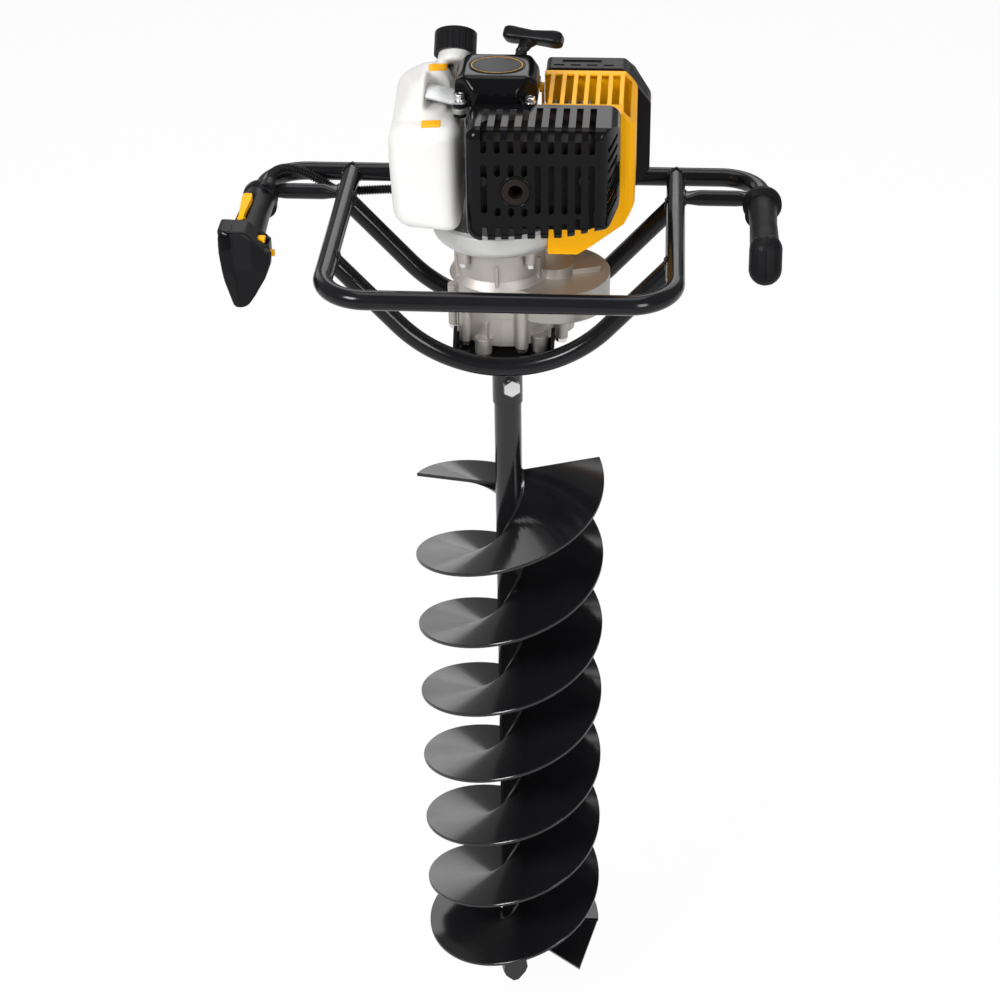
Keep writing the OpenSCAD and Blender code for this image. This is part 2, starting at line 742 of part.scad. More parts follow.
module gear_bearings() {
    color("#b4b6b9") {
        for (z = [boss_z + 4 + seam, floor_z - out_bearing_w])
            ring(out_bearing_r - seam, shaft_r + run_gap, z, z + out_bearing_w);
        translate([idler_x, 0, 0]) {
            ring(7 - seam, small_journal_r + run_gap, case_z + 1 + seam, floor_z + 3);
            ring(10 - seam, big_journal_r + run_gap, roof_z - 2, roof_z + 9 - seam);
        }
        at_crank() for (z = [hub_z, hub_z + 9]) ring(input_bearing_r - seam, input_r + run_gap, z, z + 8);
    }
}

module idler_gear() {
    color("#8f9194") translate([idler_x, 0, 0]) difference() {
        gear(module_1, teeth_idler, idler_gear_z, idler_gear_w, 180);
        rod_z(7 + seam, idler_gear_z - e, idler_gear_z + idler_gear_w + e);
        for (a = [0:60:300]) rotate([0, 0, a]) translate([27, 0, 0])
            rod_z(8, idler_gear_z - e, idler_gear_z + idler_gear_w + e);
    }
}

module idler_shaft() {
    top = idler_gear_z + idler_gear_w;
    color("#9b9da0") translate([idler_x, 0, 0]) {
        gear(module_2, teeth_small, small_z, small_w, 180 + 180 / teeth_small);
        rod_z(small_journal_r, case_z + 1.5, small_z + e);
        rod_z(6.5, small_z + small_w - e, idler_gear_z - 1);
        rod_z(8.5, idler_gear_z - 1.5, idler_gear_z - seam);
        rod_z(7, idler_gear_z - e, top);
        rod_z(big_journal_r, top - e, roof_z + 8);
    }
}

module input_pinion() {
    color("#9b9da0") at_crank() {
        gear(module_1, teeth_in, input_z, input_w, 180 / teeth_in);
        rod_z(input_r, input_z + input_w - e, drum_z + 6);
    }
}

module clutch_drum() {
    color("#77797c") at_crank() difference() {
        union() {
            rod_z(drum_r, drum_z, drum_top_z);
            rod_z(10, drum_z - 2, drum_z + e);
        }
        rod_z(drum_r - drum_wall, drum_z + 3, drum_top_z + e);
        rod_z(input_r + seam, drum_z - 3, drum_z + 4);
        for (a = [0:60:300]) rotate([0, 0, a]) translate([drum_r * 0.6, 0, 0]) rod_z(5, drum_z - e, drum_z + 4);
    }
}

// Engine

module fan_housing() {
    corner = 15;
    r0 = clutch_r - 4;
    mid = [fan_r - corner, fan_z + corner];
    profile = concat([[r0, fan_z]], arc(mid, corner, -90, 0, 8), [[fan_r, fan_top_z], [fan_r - fan_wall, fan_top_z]],
        arc(mid, corner - fan_wall, 0, -90, 8), [[r0, fan_z + fan_wall]]);
    color("#b9b9b7") difference() {
        at_crank() rotate_extrude($fn = 64) polygon(profile);
        translate([fan_cut_x, -2 * fan_r, fan_z - e]) cube([2 * fan_r, 4 * fan_r, fan_h + 2 * e]);
        at_crank() for (a = clutch_lugs) rotate([0, 0, a]) translate([clutch_lug_r, 0, 0])
            rod_z(2.6, fan_z - e, fan_z + fan_wall + e);
    }
}

// The starter's outline, a square with its corners cut off, about the crank
function octagon(less, cut) = let (a = starter_half - less, b = starter_half - 1.5 - less)
    [[-a + cut, -b], [a - cut, -b], [a, -b + cut], [a, b - cut], [a - cut, b], [-a + cut, b], [-a, b - cut], [-a, -b + cut]];

module crankcase() {
    deck_h = 60;
    deck_y = 30;
    color("#a8a9a8") difference() {
        union() {
            at_crank() {
                difference() {
                    rod_z(fan_r, fan_top_z, fan_top_z + plate_t);
                    translate([fan_cut_x - crank_x, -2 * fan_r, fan_top_z - e])
                        cube([2 * fan_r, 4 * fan_r, plate_t + 2 * e]);
                }
                rod_z(crankcase_r, fan_top_z, starter_z);
                prism_z(octagon(1, 19), starter_z - 5, starter_z);
                for (x = [-1, 1], y = [-1, 1]) translate([x * starter_c, y * starter_c, 0])
                    rod_z(7, starter_z - 5, starter_z);
            }
            translate([crank_x, -deck_y, crank_z - deck_h / 2]) cube([deck_x - crank_x, 2 * deck_y, deck_h]);
            translate([crank_x, -20, fan_top_z]) cube([90, 40, plate_t]);
        }
        at_crank() {
            rod_z(crank_r + 1.5, fan_top_z - e, starter_z + e);
            rod_z(web_r + 1.5, crank_z - 19, crank_z + 19);
            rod_z(crank_bearing_r, fan_top_z + 8, fan_top_z + 8 + crank_bearing_w);
            rod_z(crank_bearing_r, starter_z - 9 - crank_bearing_w, starter_z - 9);
            translate([0, 0, crank_z]) rod_x(bore_d / 2, 0, 60);
            for (x = [-1, 1], y = [-1, 1]) translate([x * starter_c, y * starter_c, 0])
                rod_z(m6_r - 0.4, starter_z - 6, starter_z + e);
        }
    }
}

module crank_bearings() {
    color("#b4b6b9") at_crank()
        for (z = [fan_top_z + 8 + seam, starter_z - 9 - crank_bearing_w + seam])
            ring(crank_bearing_r - seam, crank_r + run_gap, z, z + crank_bearing_w - 2 * seam);
}

module crankshaft() {
    throw = 16;
    web_t = 10;
    half = 6.5;
    color("#9c9ea1") at_crank() {
        rod_z(crank_r, shoe_z + 1, crank_z - half - web_t + e);
        for (z = [crank_z - half - web_t, crank_z + half]) rod_z(web_r, z, z + web_t);
        translate([throw, 0, 0]) rod_z(7, crank_z - half - e, crank_z + half + e);
        rod_z(crank_r, crank_z + half + web_t - e, starter_z + 4);
    }
}

module flywheel_fan() {
    rim = fan_r - 8;
    blades = 16;
    color("#6e7073") at_crank() difference() {
        union() {
            rod_z(rim, flywheel_z, flywheel_z + 5);
            rod_z(16, flywheel_z, flywheel_z + 14);
            for (i = [0:blades - 1]) rotate([0, 0, i * 360 / blades])
                translate([rim - 19, -1.2, flywheel_z + 4]) cube([18, 2.4, 11]);
        }
        rod_z(crank_r + seam, flywheel_z - e, flywheel_z + 16);
        for (a = [0, 180]) rotate([0, 0, a]) translate([22, 0, 0]) rod_z(4 + seam, flywheel_z - e, flywheel_z + 6);
    }
}

module clutch_shoes() {
    r_out = drum_r - drum_wall - 1.2;
    color("#5a5b5e") at_crank() for (a = [0, 180]) rotate([0, 0, a]) {
        difference() {
            ring(r_out, 12, shoe_z, shoe_z + shoe_h);
            translate([-60, -60, shoe_z - e]) cube([63, 120, shoe_h + 2 * e]);
        }
        translate([22, 0, 0]) rod_z(4, shoe_z + e, flywheel_z + 5);
    }
}

module engine_cylinder() {
    barrel_r = bore_d / 2 + 5;
    pitch = (head_x - deck_x - 12) / (fin_count - 1);
    color("#b0b1b0") difference() {
        translate([0, 0, crank_z]) union() {
            rod_x(barrel_r, deck_x + seam, head_x);
            translate([deck_x + seam, -30, -30]) cube([5, 60, 60]);
            for (i = [0:fin_count - 1]) translate([deck_x + 10 + i * pitch, -fin_w / 2, -38]) cube([2, fin_w, 76]);
            translate([deck_x + 16, muffler_y1 + seam, -14]) cube([28, -muffler_y1, 28]);
            translate([deck_x + 10, 0, -14]) cube([28, fin_w / 2, 28]);
        }
        translate([0, 0, crank_z]) {
            rod_x(bore_d / 2, deck_x - e, head_x - 8);
            translate([deck_x + 30, 0, 0]) rod_y(9, muffler_y1 - e, 0);
            translate([deck_x + 24, 0, 0]) rod_y(8, 0, fin_w / 2 + e);
            rod_x(5 + seam, head_x - 9, head_x + e);
        }
    }
}

module spark_plug() {
    color("#dcdcd8") translate([0, 0, crank_z]) {
        rod_x(5, head_x - 8, head_x + e);
        translate([head_x + seam, 0, 0]) rotate([0, 90, 0]) hex_bar(16, 8);
        rod_x(4.5, head_x + 7, head_x + 19);
    }
}

module spark_plug_cap() {
    x0 = head_x + 9;
    color("#1b1b1d") translate([0, 0, crank_z]) difference() {
        union() {
            rod_x(8.5, x0, x0 + 16);
            translate([x0 + 9, 0, 0]) rod_y(6, 0, 22);
        }
        rod_x(4.5 + seam, x0 - e, x0 + 10.2);
    }
}

module ignition_coil() {
    z1 = fan_top_z - seam;
    color("#232326") {
        translate([crank_x + fan_r - 5, -15, z1 - 15]) cube([24, 30, 15]);
        translate([crank_x + fan_r + 7, 0, 0]) rod_z(7, z1 - 19, z1 - 14);
    }
}

module cylinder_shroud() {
    x0 = 36;
    w = cover_wall;
    z0 = shroud_z0;
    z1 = shroud_z1;
    s = shroud_x;
    step_z = fan_top_z + plate_t + 1;
    profile = rounded([[fan_cut_x + 0.3, z0], [72, z0], [84, z0 + 8], [s - 10, z0 + 33], [s, z0 + 53],
        [s, z1 - 12], [s - 12, z1], [x0, z1], [x0, step_z], [fan_cut_x + 0.3, step_z]], 2, 3);
    inside = [[20, z0 + w], [71.3, z0 + w], [82.8, z0 + 8 + w], [s - 11.8, z0 + 33 + w / 2], [s - w, z0 + 53.5],
        [s - w, z1 - 13], [s - 13, z1 - w], [20, z1 - w]];
    plan = rounded([[x0 - 20, shroud_y0], [s, shroud_y0], [s, shroud_y1], [x0 - 20, shroud_y1]], 9, 4);
    room = rounded([[x0 - 40, shroud_y0 + w], [s - w, shroud_y0 + w], [s - w, shroud_y1 - w],
        [x0 - 40, shroud_y1 - w]], 7, 4);
    pitch = (s - 9 - 39) / (grille_slots - 1);
    color("#f2ac0e") difference() {
        intersection() {
            prism_y(profile, shroud_y0 - e, shroud_y1 + e);
            prism_z(plan, z0 - e, z1 + e);
        }
        intersection() {
            prism_y(inside, shroud_y0, shroud_y1);
            prism_z(room, z0, z1);
        }
        prism_y(rounded(rect(20, z0 + 58, s - 14, z1 - 8), 6), shroud_y0 - e, shroud_y0 + w + e);
        prism_y(rounded(rect(20, cable_z - 32, 82, cable_z + 30), 6), shroud_y1 - w - e, shroud_y1 + e);
        for (i = [0:grille_slots - 1]) translate([39 + i * pitch - grille_slot_w / 2, shroud_y0 + 9, z1 - 9])
            cube([grille_slot_w, shroud_y1 - shroud_y0 - 18, 20]);
        translate([crank_x, 0, 0]) rod_z(starter_half + 3, z1 - 10, z1 + 10);
    }
}

module muffler() {
    outline = rounded(rect(-24, guard_z0 + 8, 95, guard_z1 - 14), 14);
    mid = (muffler_y0 + muffler_y1) / 2;
    flange = rounded(rect(-26, guard_z0 + 6, 97, guard_z1 - 12), 15);
    color("#6b6259") difference() {
        union() {
            prism_y(outline, muffler_y0, muffler_y1);
            prism_y(flange, mid - 1.5, mid + 1.5);
            translate([outlet_x, 0, outlet_z]) rod_y(outlet_r - 0.6, guard_front_y - 1, muffler_y0 + e);
            for (p = muffler_bosses) translate([p[0], 0, p[1]])
                rod_y(5, guard_front_y + guard_wall + seam, muffler_y0 + e);
        }
        translate([outlet_x, 0, outlet_z]) rod_y(outlet_r / 2, guard_front_y - 2, muffler_y0 + 25);
    }
}

module muffler_guard() {
    t = guard_wall;
    lift = 14;
    x0 = guard_x0;
    x1 = guard_x1;
    y0 = guard_front_y;
    y1 = guard_back_y;
    z0 = guard_z0;
    z1 = guard_z1;
    w = guard_slot_w;
    front = rounded([[x0, z0], [x0 + 90, z0 + 5], [x1 - 8, z0 + lift], [x1, z0 + lift + 14], [x1, z1 + 4], [x0, z1 + 4]], 11);
    front_in = rounded([[x0 + t, z0 - 30], [x1 - t, z0 - 30], [x1 - t, z1 + 4 - t], [x0 + t, z1 + 4 - t]], 10);
    side = rounded([[y0, z0 - e], [y0, z1 - 8], [y0 + 9, z1 - 2], [y1 + e, z1], [y1 + e, z0 - e]], 5);
    side_in = rounded([[y0 + t, z0 - 30], [y0 + t, z1 - 8 - t / 2], [y0 + 9.5, z1 - 2 - t], [y1 + 9, z1 - t],
        [y1 + 9, z0 - 30]], 4);
    plan = rounded([[x0, y1 + 20], [x0, y0], [x1 - 13, y0], [x1, y0 + 20], [x1, y1 + 20]], 10);
    plan_in = rounded([[x0 + t, y1 + 30], [x0 + t, y0 + t], [x1 - 13.5, y0 + t], [x1 - t, y0 + 20.5], [x1 - t, y1 + 30]], 9);
    first = -12.2;
    slope = 5 / 90;
    color("#121214") difference() {
        intersection() {
            prism_y(front, y0 - e, y1);
            prism_x(side, x0 - e, x1 + e);
            prism_z(plan, z0 - e, z1 + 6);
        }
        intersection() {
            prism_y(front_in, y0, y1 + 8);
            prism_x(side_in, x0, x1);
            prism_z(plan_in, z0 - 20, z1);
        }
        for (i = [0:guard_slots - 1]) {
            x = first + i * guard_pitch;
            short = i > 0 && i < 4;
            foot = z0 + (x - x0) * slope + max(0, x - x0 - 90) * 0.4;
            translate([x - w / 2, y0 - e, z1 - 20]) cube([w, y1 - y0 - 8, 40]);
            translate([x, 0, z1 - 20]) rod_y(w / 2, y0 - e, y0 + 12, $fn = 16);
            if (short) {
                slot_y(x, z1 - 46, z1 - 34, w, y0 - e, y0 + 5);
                slot_y(x, z0 + 24, z0 + 33, w, y0 - e, y0 + 5);
            } else {
                slot_y(x, z0 + 27, z1 - 34, w, y0 - e, y0 + 5);
            }
            prism_y([[x - w / 2, foot - 12], [x + w / 2, foot - 12], [x + w / 3, foot + 13], [x - w / 3, foot + 13]],
                y0 - e, y0 + 14);
        }
        translate([outlet_x, 0, outlet_z]) rod_y(outlet_r, y0 - e, y0 + 5);
        for (i = [0:5]) translate([x1 - 8, (y0 + y1) / 2 + 6, z0 + lift + 22 + i * 11]) rotate([28, 0, 0])
            cube([30, 26, 4.5], center = true);
    }
}

module intake_insulator() {
    x = deck_x + 24;
    color("#3b3a38") difference() {
        prism_y(rounded(rect(x - 16, crank_z - 16, x + 16, crank_z + 16), 4), fin_w / 2 + seam, carb_y0 - seam);
        translate([x, 0, crank_z]) rod_y(8, 30, carb_y0 + e);
    }
}

module carburettor() {
    color("#b3b4b4") difference() {
        union() {
            translate([carb_x0, carb_y0, crank_z - 20]) cube([carb_x1 - carb_x0, carb_y1 - carb_y0, 40]);
            translate([0, cable_y, cable_z]) rod_x(6, carb_x0 - 12, carb_x0 + e);
            translate([54, 61, 0]) rod_z(9.5, crank_z - 26, crank_z - 19);
        }
        translate([deck_x + 24, 0, crank_z]) rod_y(8, carb_y0 - e, carb_y1 + e);
        translate([0, cable_y, cable_z]) rod_x(1.5, carb_x0 - 14, carb_x0 + 6);
        translate([0, 57, crank_z + 14]) rod_x(2.5 + run_gap, carb_x0 - e, carb_x0 + 9);
        translate([54, 61, 0]) rod_z(7.5 + clear, crank_z - 27, crank_z - 16);
    }
}

module choke_lever() {
    at = crank_z + 14;
    color("#f2ac0e") translate([0, 57, at]) {
        rod_x(2.5, carb_x0 - e, carb_x0 + 8);
        rod_x(5.5, carb_x0 - 3, carb_x0 - clear);
        translate([carb_x0 - 3, -3.5, 0]) cube([3 - clear, 7, 28]);
        translate([0, 0, 28]) rod_x(5, carb_x0 - 5, carb_x0 - clear);
    }
}

module primer_bulb() {
    color("#d9cfae") translate([54, 61, crank_z - 21.5]) intersection() {
        scale([1, 1, 1.35]) sphere(r = 7.5);
        rod_z(9, -20, 0);
    }
}

module air_cleaner_base() {
    color("#1e1e20") difference() {
        prism_y(rounded(air_outline, 7), air_y0, air_y0 + air_t);
        translate([deck_x + 24, 0, crank_z]) rod_y(9, air_y0 - e, air_y0 + air_t + e);
    }
}

module air_filter() {
    color("#8d8f7a") prism_y(rounded(rect(44, air_z0 + 44, 126, air_z1 - 24), 6), air_y0 + air_t + seam, air_y0 + air_t + 15);
}

module air_cleaner_cover() {
    y0 = air_y0 + air_t + seam;
    w = cover_wall;
    z0 = air_z0;
    z1 = air_z1;
    inside = [[36 + w, z0 + w], [107, z0 + w], [139 - w, z0 + 42.5], [139 - w, z1 - 36.5], [111, z1 - w], [36 + w, z1 - w]];
    plan = rounded([[30, y0 - 20], [145, y0 - 20], [139, air_y1 - 12], [122, air_y1], [48, air_y1], [36, air_y1 - 10]], 6);
    plan_in = rounded([[36 + w, y0 - 30], [139 - w, y0 - 30], [139 - w - 1, air_y1 - 13], [121, air_y1 - w], [49, air_y1 - w],
        [36 + w, air_y1 - 11]], 5);
    side = rounded([[y0 - 20, z0], [air_y1 - 8, z0], [air_y1, z0 + 12], [air_y1, z1 - 14], [air_y1 - 12, z1], [y0 - 20, z1]], 5);
    color("#1a1a1c") difference() {
        intersection() {
            prism_y(rounded(air_outline, 7), y0, air_y1);
            prism_z(plan, z0 - e, z1 + e);
            prism_x(side, 30, 145);
        }
        intersection() {
            prism_y(rounded(inside, 5), y0 - e, air_y1 - w);
            prism_z(plan_in, z0, z1);
        }
        translate([52, y0 + 7, z1 - 1.2]) cube([38, 9, 4]);
        for (x = [44, 60, 76, 92]) translate([x, y0 + 2, z1 - 6]) cube([10, 3, 12]);
        for (i = [0:louvre_count - 1]) translate([128, y0 + 6 + i * 5.5, z1 - 18]) rotate([0, 37, 0])
            cube([30, 2.2, 14], center = true);
    }
}

module starter_housing() {
    top = starter_top_z;
    z0 = starter_z + seam;
    a = starter_half;
    b = starter_half - 1.5;
    crown_x = rounded([[-a, z0 - 20], [a, z0 - 20], [a, top - 9], [a - 9, top], [-a + 9, top], [-a, top - 9]], 7);
    crown_y = rounded([[-b, z0 - 20], [b, z0 - 20], [b, top - 11], [b - 10, top], [-b + 10, top], [-b, top - 11]], 7);
    color("#141416") at_crank() difference() {
        union() {
            intersection() {
                prism_z(rounded(octagon(0, 19), 5), z0, top + e);
                prism_y(crown_x, -b - e, b + e);
                prism_x(crown_y, -a - e, a + e);
            }
            for (x = [-1, 1], y = [-1, 1]) translate([x * starter_c, y * starter_c, 0]) rod_z(7, z0, starter_z + 5);
        }
        difference() {
            rod_z(pulley_r + 2, z0 - e, top - 7);
            rod_z(5, pulley_z + 1, top);
        }
        scale([1.25, 1, 1]) rod_z(22, top - 0.6, top + e);
        for (x = [-1, 1], y = [-1, 1]) translate([x * starter_c, y * starter_c, 0])
            rod_z(m6_r - 0.3, z0 - e, starter_z + 6);
        translate([rope_at[0], rope_at[1], starter_z + rope_at[2]]) rotate([-rope_lean, 0, 0]) {
            rod_z(rope_r + 0.6, -14, 30);
            rod_z(8, 4, 30);
        }
    }
}

module starter_bolts() {
    color("#c9cbcd") at_crank() for (x = [-1, 1], y = [-1, 1]) {
        lift = x < 0 && y < 0 ? 1.6 + 2 * seam : seam;
        translate([x * starter_c, y * starter_c, starter_z + 5 + lift]) {
            rod_z(5, 0, 1.4);
            rod_z(4.4, 1, 6.5);
            rod_z(2.5, -9, 2);
        }
    }
}

module starter_pulley() {
    color("#c8b98a") at_crank() difference() {
        union() {
            rod_z(pulley_r, pulley_z, pulley_z + 2);
            rod_z(pulley_r - 5, pulley_z, pulley_z + 10);
            rod_z(pulley_r, pulley_z + 8, pulley_z + 10);
        }
        rod_z(5 + run_gap, pulley_z - e, pulley_z + 11);
    }
}

// Pulled along its own rope, back and up
module pull_handle() {
    bar = handle_off;
    color("#161618") translate([crank_x + rope_at[0], rope_at[1], starter_z + rope_at[2]]) rotate([-rope_lean, 0, 0]) {
        rod_z(rope_r, -10, bar - 8);
        over_balls([[-2, 0, 8.5, 4], [2, 0, 8.5, 4], [6, 0, bar - 2, 6], [16, 0, bar - 2, 6]]);
        over_balls([[-12, -2, bar + 1, 7], [-12, 2, bar + 1, 7], [35, -2, bar, 7], [35, 2, bar, 7]]);
    }
}

// Tank

function tank_side(y, inset) = y < 0 ? inset - tank_front : tank_y - inset;

tank_low = [for (y = [-1, 1]) each [
    [-tank_x + 22, tank_side(y, 20), tank_z0 + 20, 20], [-tank_x1 - 12, tank_side(y, 12), tank_z0 + 12, 12],
    [-tank_x + 18, tank_side(y, 18), tank_z0 + 70, 18], [-tank_x + 18, tank_side(y, 18), tank_step_z - 18, 18],
    [-tank_x1 - 13, tank_side(y, 14), tank_step_z - 13, 13]]];
tank_high = [[-tank_x + 20, -tank_y + 20, tank_z0 + 60, 18], [-tank_x + 20, tank_y - 20, tank_z0 + 60, 18],
    [-tank_step_x - 12, -tank_y + 13, tank_z0 + 70, 12], [-tank_step_x - 12, tank_y - 13, tank_z0 + 70, 12],
    [-tank_x + 22, -38, tank_step_z - 20, 21], [-tank_x + 22, 34, tank_z1 - 30, 22],
    [-tank_x + 33, -4, tank_z1 - 22, 21], [-tank_x + 33, 28, tank_z1 - 21, 21],
    [-tank_step_x - 14, -12, tank_z1 - 20, 14], [-tank_step_x - 14, 36, tank_z1 - 16, 14]];
tank_inside = [[-tank_x + 16, 24 - tank_y, tank_z0 + 70, 14], [-tank_x + 16, tank_y - 24, tank_z0 + 70, 14],
    [-tank_x + 22, -16, tank_step_z - 24, 14], [-tank_x + 22, 30, tank_z1 - 36, 14]];
tank_shoulder = [[-64, 40, filler[2] - 9, 12], [-52, 50, filler[2] - 13, 8], [-52, 50, tank_z0 + 60, 8],
    [-66, 44, tank_z0 + 60, 12]];

// Room for the cap round the neck
cap_room = [[neck_d / 2 - 0.4, neck_top - cap_skirt - 0.6], [cap_d / 2 + 1, neck_top - cap_skirt - 0.6],
    [cap_d / 2 + 1, neck_top + 40], [0, neck_top + 40], [0, neck_top - 0.3], [neck_d / 2 - 0.4, neck_top - 0.3]];

module at_filler() {
    translate(filler) rotate([-neck_lean, 0, 0]) children();
}

module fuel_tank() {
    color("#f1efe8") difference() {
        union() {
            over_balls(tank_low, 0, 20);
            over_balls(tank_high, 0, 20);
            over_balls(tank_shoulder, 0, 16);
            at_filler() rod_z(neck_d / 2, 0, neck_top);
        }
        over_balls(tank_low, tank_wall, 16);
        over_balls(tank_inside, tank_wall, 16);
        at_filler() rod_z(neck_d / 2 - 3, 3, neck_top + e);
        at_filler() translate([-8, 0, 0]) rod_z(6, -36, 4);
        at_filler() rotate_extrude() polygon(cap_room);
        translate([tank_notch_x, -tank_front - e, tank_step_z + 5]) cube([60, tank_front + 15, 40]);
    }
}

module fuel_cap() {
    r = cap_d / 2;
    skirt = cap_skirt;
    color("#1b1c1f") at_filler() difference() {
        rod_z(r, neck_top - skirt, neck_top - skirt + cap_h);
        rod_z(neck_d / 2 + clear, neck_top - skirt - e, neck_top + clear);
        for (i = [0:cap_flutes - 1]) rotate([0, 0, i * 360 / cap_flutes]) translate([r + 0.6, 0, 0])
            rod_z(1.4, neck_top - skirt - e, neck_top - skirt + cap_h - 4, $fn = 16);
    }
}

// Rubber blocks between the tank, the crankcase and the fan housing's plate
module tank_pads() {
    x = crank_x - fan_r * 0.72;
    color("#1d1d1f") {
        for (y = [-24, 24]) translate([x, y, 0]) rod_z(7, fan_top_z + plate_t + seam, tank_z0 - seam);
        translate([crank_x - starter_c, -starter_c, 0]) rod_z(6, tank_step_z + 0.2, starter_z - 5 - seam);
    }
}

// A sheet tab under the starter's left front bolt, hooked into the notch of the tank
module tank_bracket() {
    t = 1.6;
    z = starter_z + 5 + seam;
    x = crank_x - starter_c;
    hook_x = tank_notch_x + 0.3;
    outline = rounded([[x + 6, -starter_c - 6], [x + 6, -starter_c + 6], [x - 7, -6], [hook_x, 8], [hook_x, -26],
        [x - 8, -starter_c - 6]], 3, 3);
    color("#a7a9ab") difference() {
        union() {
            prism_z(outline, z, z + t);
            translate([hook_x, -22, z - 7]) cube([t, 24, 8]);
        }
        translate([x, -starter_c, 0]) rod_z(2.7, z - e, z + 3);
        at_crank() prism_z(rounded(octagon(-0.3, 19), 5), z - e, z + 3);
    }
}

// Controls

module throttle_grip() {
    x = -handle_x;
    z = frame_z;
    y1 = left_grip_y;
    barrel = [[frame_r + seam, y1], [grip_r, y1], [grip_r + 2.5, y1 - 3], [grip_r + 2.5, y1 - 8], [grip_r, y1 - 14],
        [grip_r, 20], [grip_r + 2.5, -40], [grip_r + 3, -60], [frame_r + seam, -60]];
    face = rounded([[x - 26, z + 8], [x - 24, z + 30], [x - 14, z + 35], [x + 8, z + 33], [x + 29, z + 14], [x + 9, z - 41],
        [x - 8, z - 41]], 6);
    flank = rounded([[-90, z - 45], [-90, z - 4], [-80, z + 36], [-56, z + 36], [-50, z + 10], [-50, z - 14], [-74, z - 45]], 6);
    color("#1c1c1e") difference() {
        union() {
            translate([x, 0, z]) rotate([-90, 0, 0]) rotate_extrude() polygon(barrel);
            intersection() {
                prism_y(face, -92, -48);
                prism_x(flank, x - 40, x + 40);
            }
            translate([x - 9, -52, z - grip_r - 11]) cube([18, 24, grip_r]);
            translate([x + 3, 0, z - 9]) rod_y(13.5, y1 - 11, y1 - 2);
            translate([x + 9, 0, z + 13.5]) rod_y(7, y1 - 16, y1);
            translate([x + 18, switch_at[1] - 9, z - 2]) cube([12, 20, 18]);
        }
        translate([x, 0, z]) rod_y(frame_r + seam, left_bar_y - seam, y1 + e);
        translate([x + 9, 0, z + 13.5]) rod_y(conduit_d / 2 + 0.1, y1 - 9, y1 + e);
        translate([x - trigger_w / 2 - clear, trigger_at[1] - 9, z - 60])
            cube([trigger_w + 2 * clear, 62, 60 - grip_r + 4.5]);
        translate([0, trigger_at[1], trigger_at[2]]) rod_x(2 + run_gap, x - 20, x + 20);
        translate([lock_at[0] - 5 - clear, lock_at[1] - 6, lock_at[2] - 3.6]) cube([10 + 2 * clear, 60, 30]);
        translate([0, lock_at[1], lock_at[2]]) rod_x(1.5 + run_gap, lock_at[0] - 9, lock_at[0] + 9);
        translate([switch_at[0] - 5 - clear, switch_at[1] - 6, switch_at[2] - 1]) cube([10 + 2 * clear, 12, 10]);
        translate([0, switch_at[1], z + 4]) rod_x(3.5 + clear, x + 21, x + 40);
    }
}

// The trigger hangs under the grip and swings up into it
module throttle_trigger() {
    outline = rounded([[-5, 4], [-5, -4], [18, -12], [44, -14], [50, -6], [44, 3], [12, 5]], 3, 3);
    color("#2a2a2c") translate(trigger_at) rotate([-trigger_swing, 0, 0]) {
        prism_x(outline, -trigger_w / 2, trigger_w / 2);
        rod_x(2, -8, 8);
    }
}

module lockout_lever() {
    outline = rounded([[-4, -2], [10, -2], [44, -0.5], [50, 3], [44, 6.5], [8, 5], [-4, 3]], 2, 3);
    color("#f2ac0e") translate(lock_at) {
        prism_x(outline, -5, 5);
        rod_x(1.5, -8, 8);
    }
}

module stop_switch() {
    color("#f2ac0e") translate(switch_at) prism_x(rounded([[-4, -0.6], [4, -0.6], [3, 5], [-3, 5]], 1, 3), -5, 1);
}

module hold_button() {
    color("#f2ac0e") translate([0, switch_at[1], frame_z + 4]) rod_x(3.5, -handle_x + 26, -handle_x + 34);
}

module right_grip() {
    body = [[frame_r + seam, right_grip_y], [grip_r + 4, right_grip_y], [grip_r + 4, right_grip_y - 5],
        [grip_r - 1, right_grip_y - 9], [grip_r - 2, 20], [grip_r - 1, -30], [grip_r, -44], [frame_r + seam, -44]];
    color("#1c1c1e") difference() {
        translate([handle_x, 0, frame_z]) union() {
            rotate([-90, 0, 0]) rotate_extrude() polygon(body);
            translate([-3, 0, -8]) rod_y(14, right_grip_y - 12, right_grip_y - 2);
            over_balls([[0, -49, 8, 16], [0, -55, -9, 16]], 0, 24);
        }
        translate([handle_x, 0, frame_z]) rod_y(frame_r + seam, right_bar_y - seam, right_grip_y + e);
    }
}

// Points along the route, evenly in its own parameter, with a tangent each
function route_point(t) = let (p = conduit_route, i = min(floor(t), len(p) - 2), f = t - i,
    a = i > 0 ? p[i - 1] : 2 * p[0] - p[1], b = p[i], c = p[i + 1],
    d = i < len(p) - 2 ? p[i + 2] : 2 * c - b)
    b + 0.5 * f * (c - a + f * (2 * a - 5 * b + 4 * c - d + f * (3 * (b - c) + d - a)));
route_len = [for (i = 0, s = 0; i <= 20 * (len(conduit_route) - 1);
    i = i + 1, s = s + norm(route_point(i / 20) - route_point((i - 1) / 20))) s];
function route_at(s) = let (k = min(max([for (i = [0:len(route_len) - 2]) if (route_len[i] <= s) i]), len(route_len) - 2),
    f = (s - route_len[k]) / (route_len[k + 1] - route_len[k])) route_point((k + f) / 20);
function unit(v) = v / norm(v);

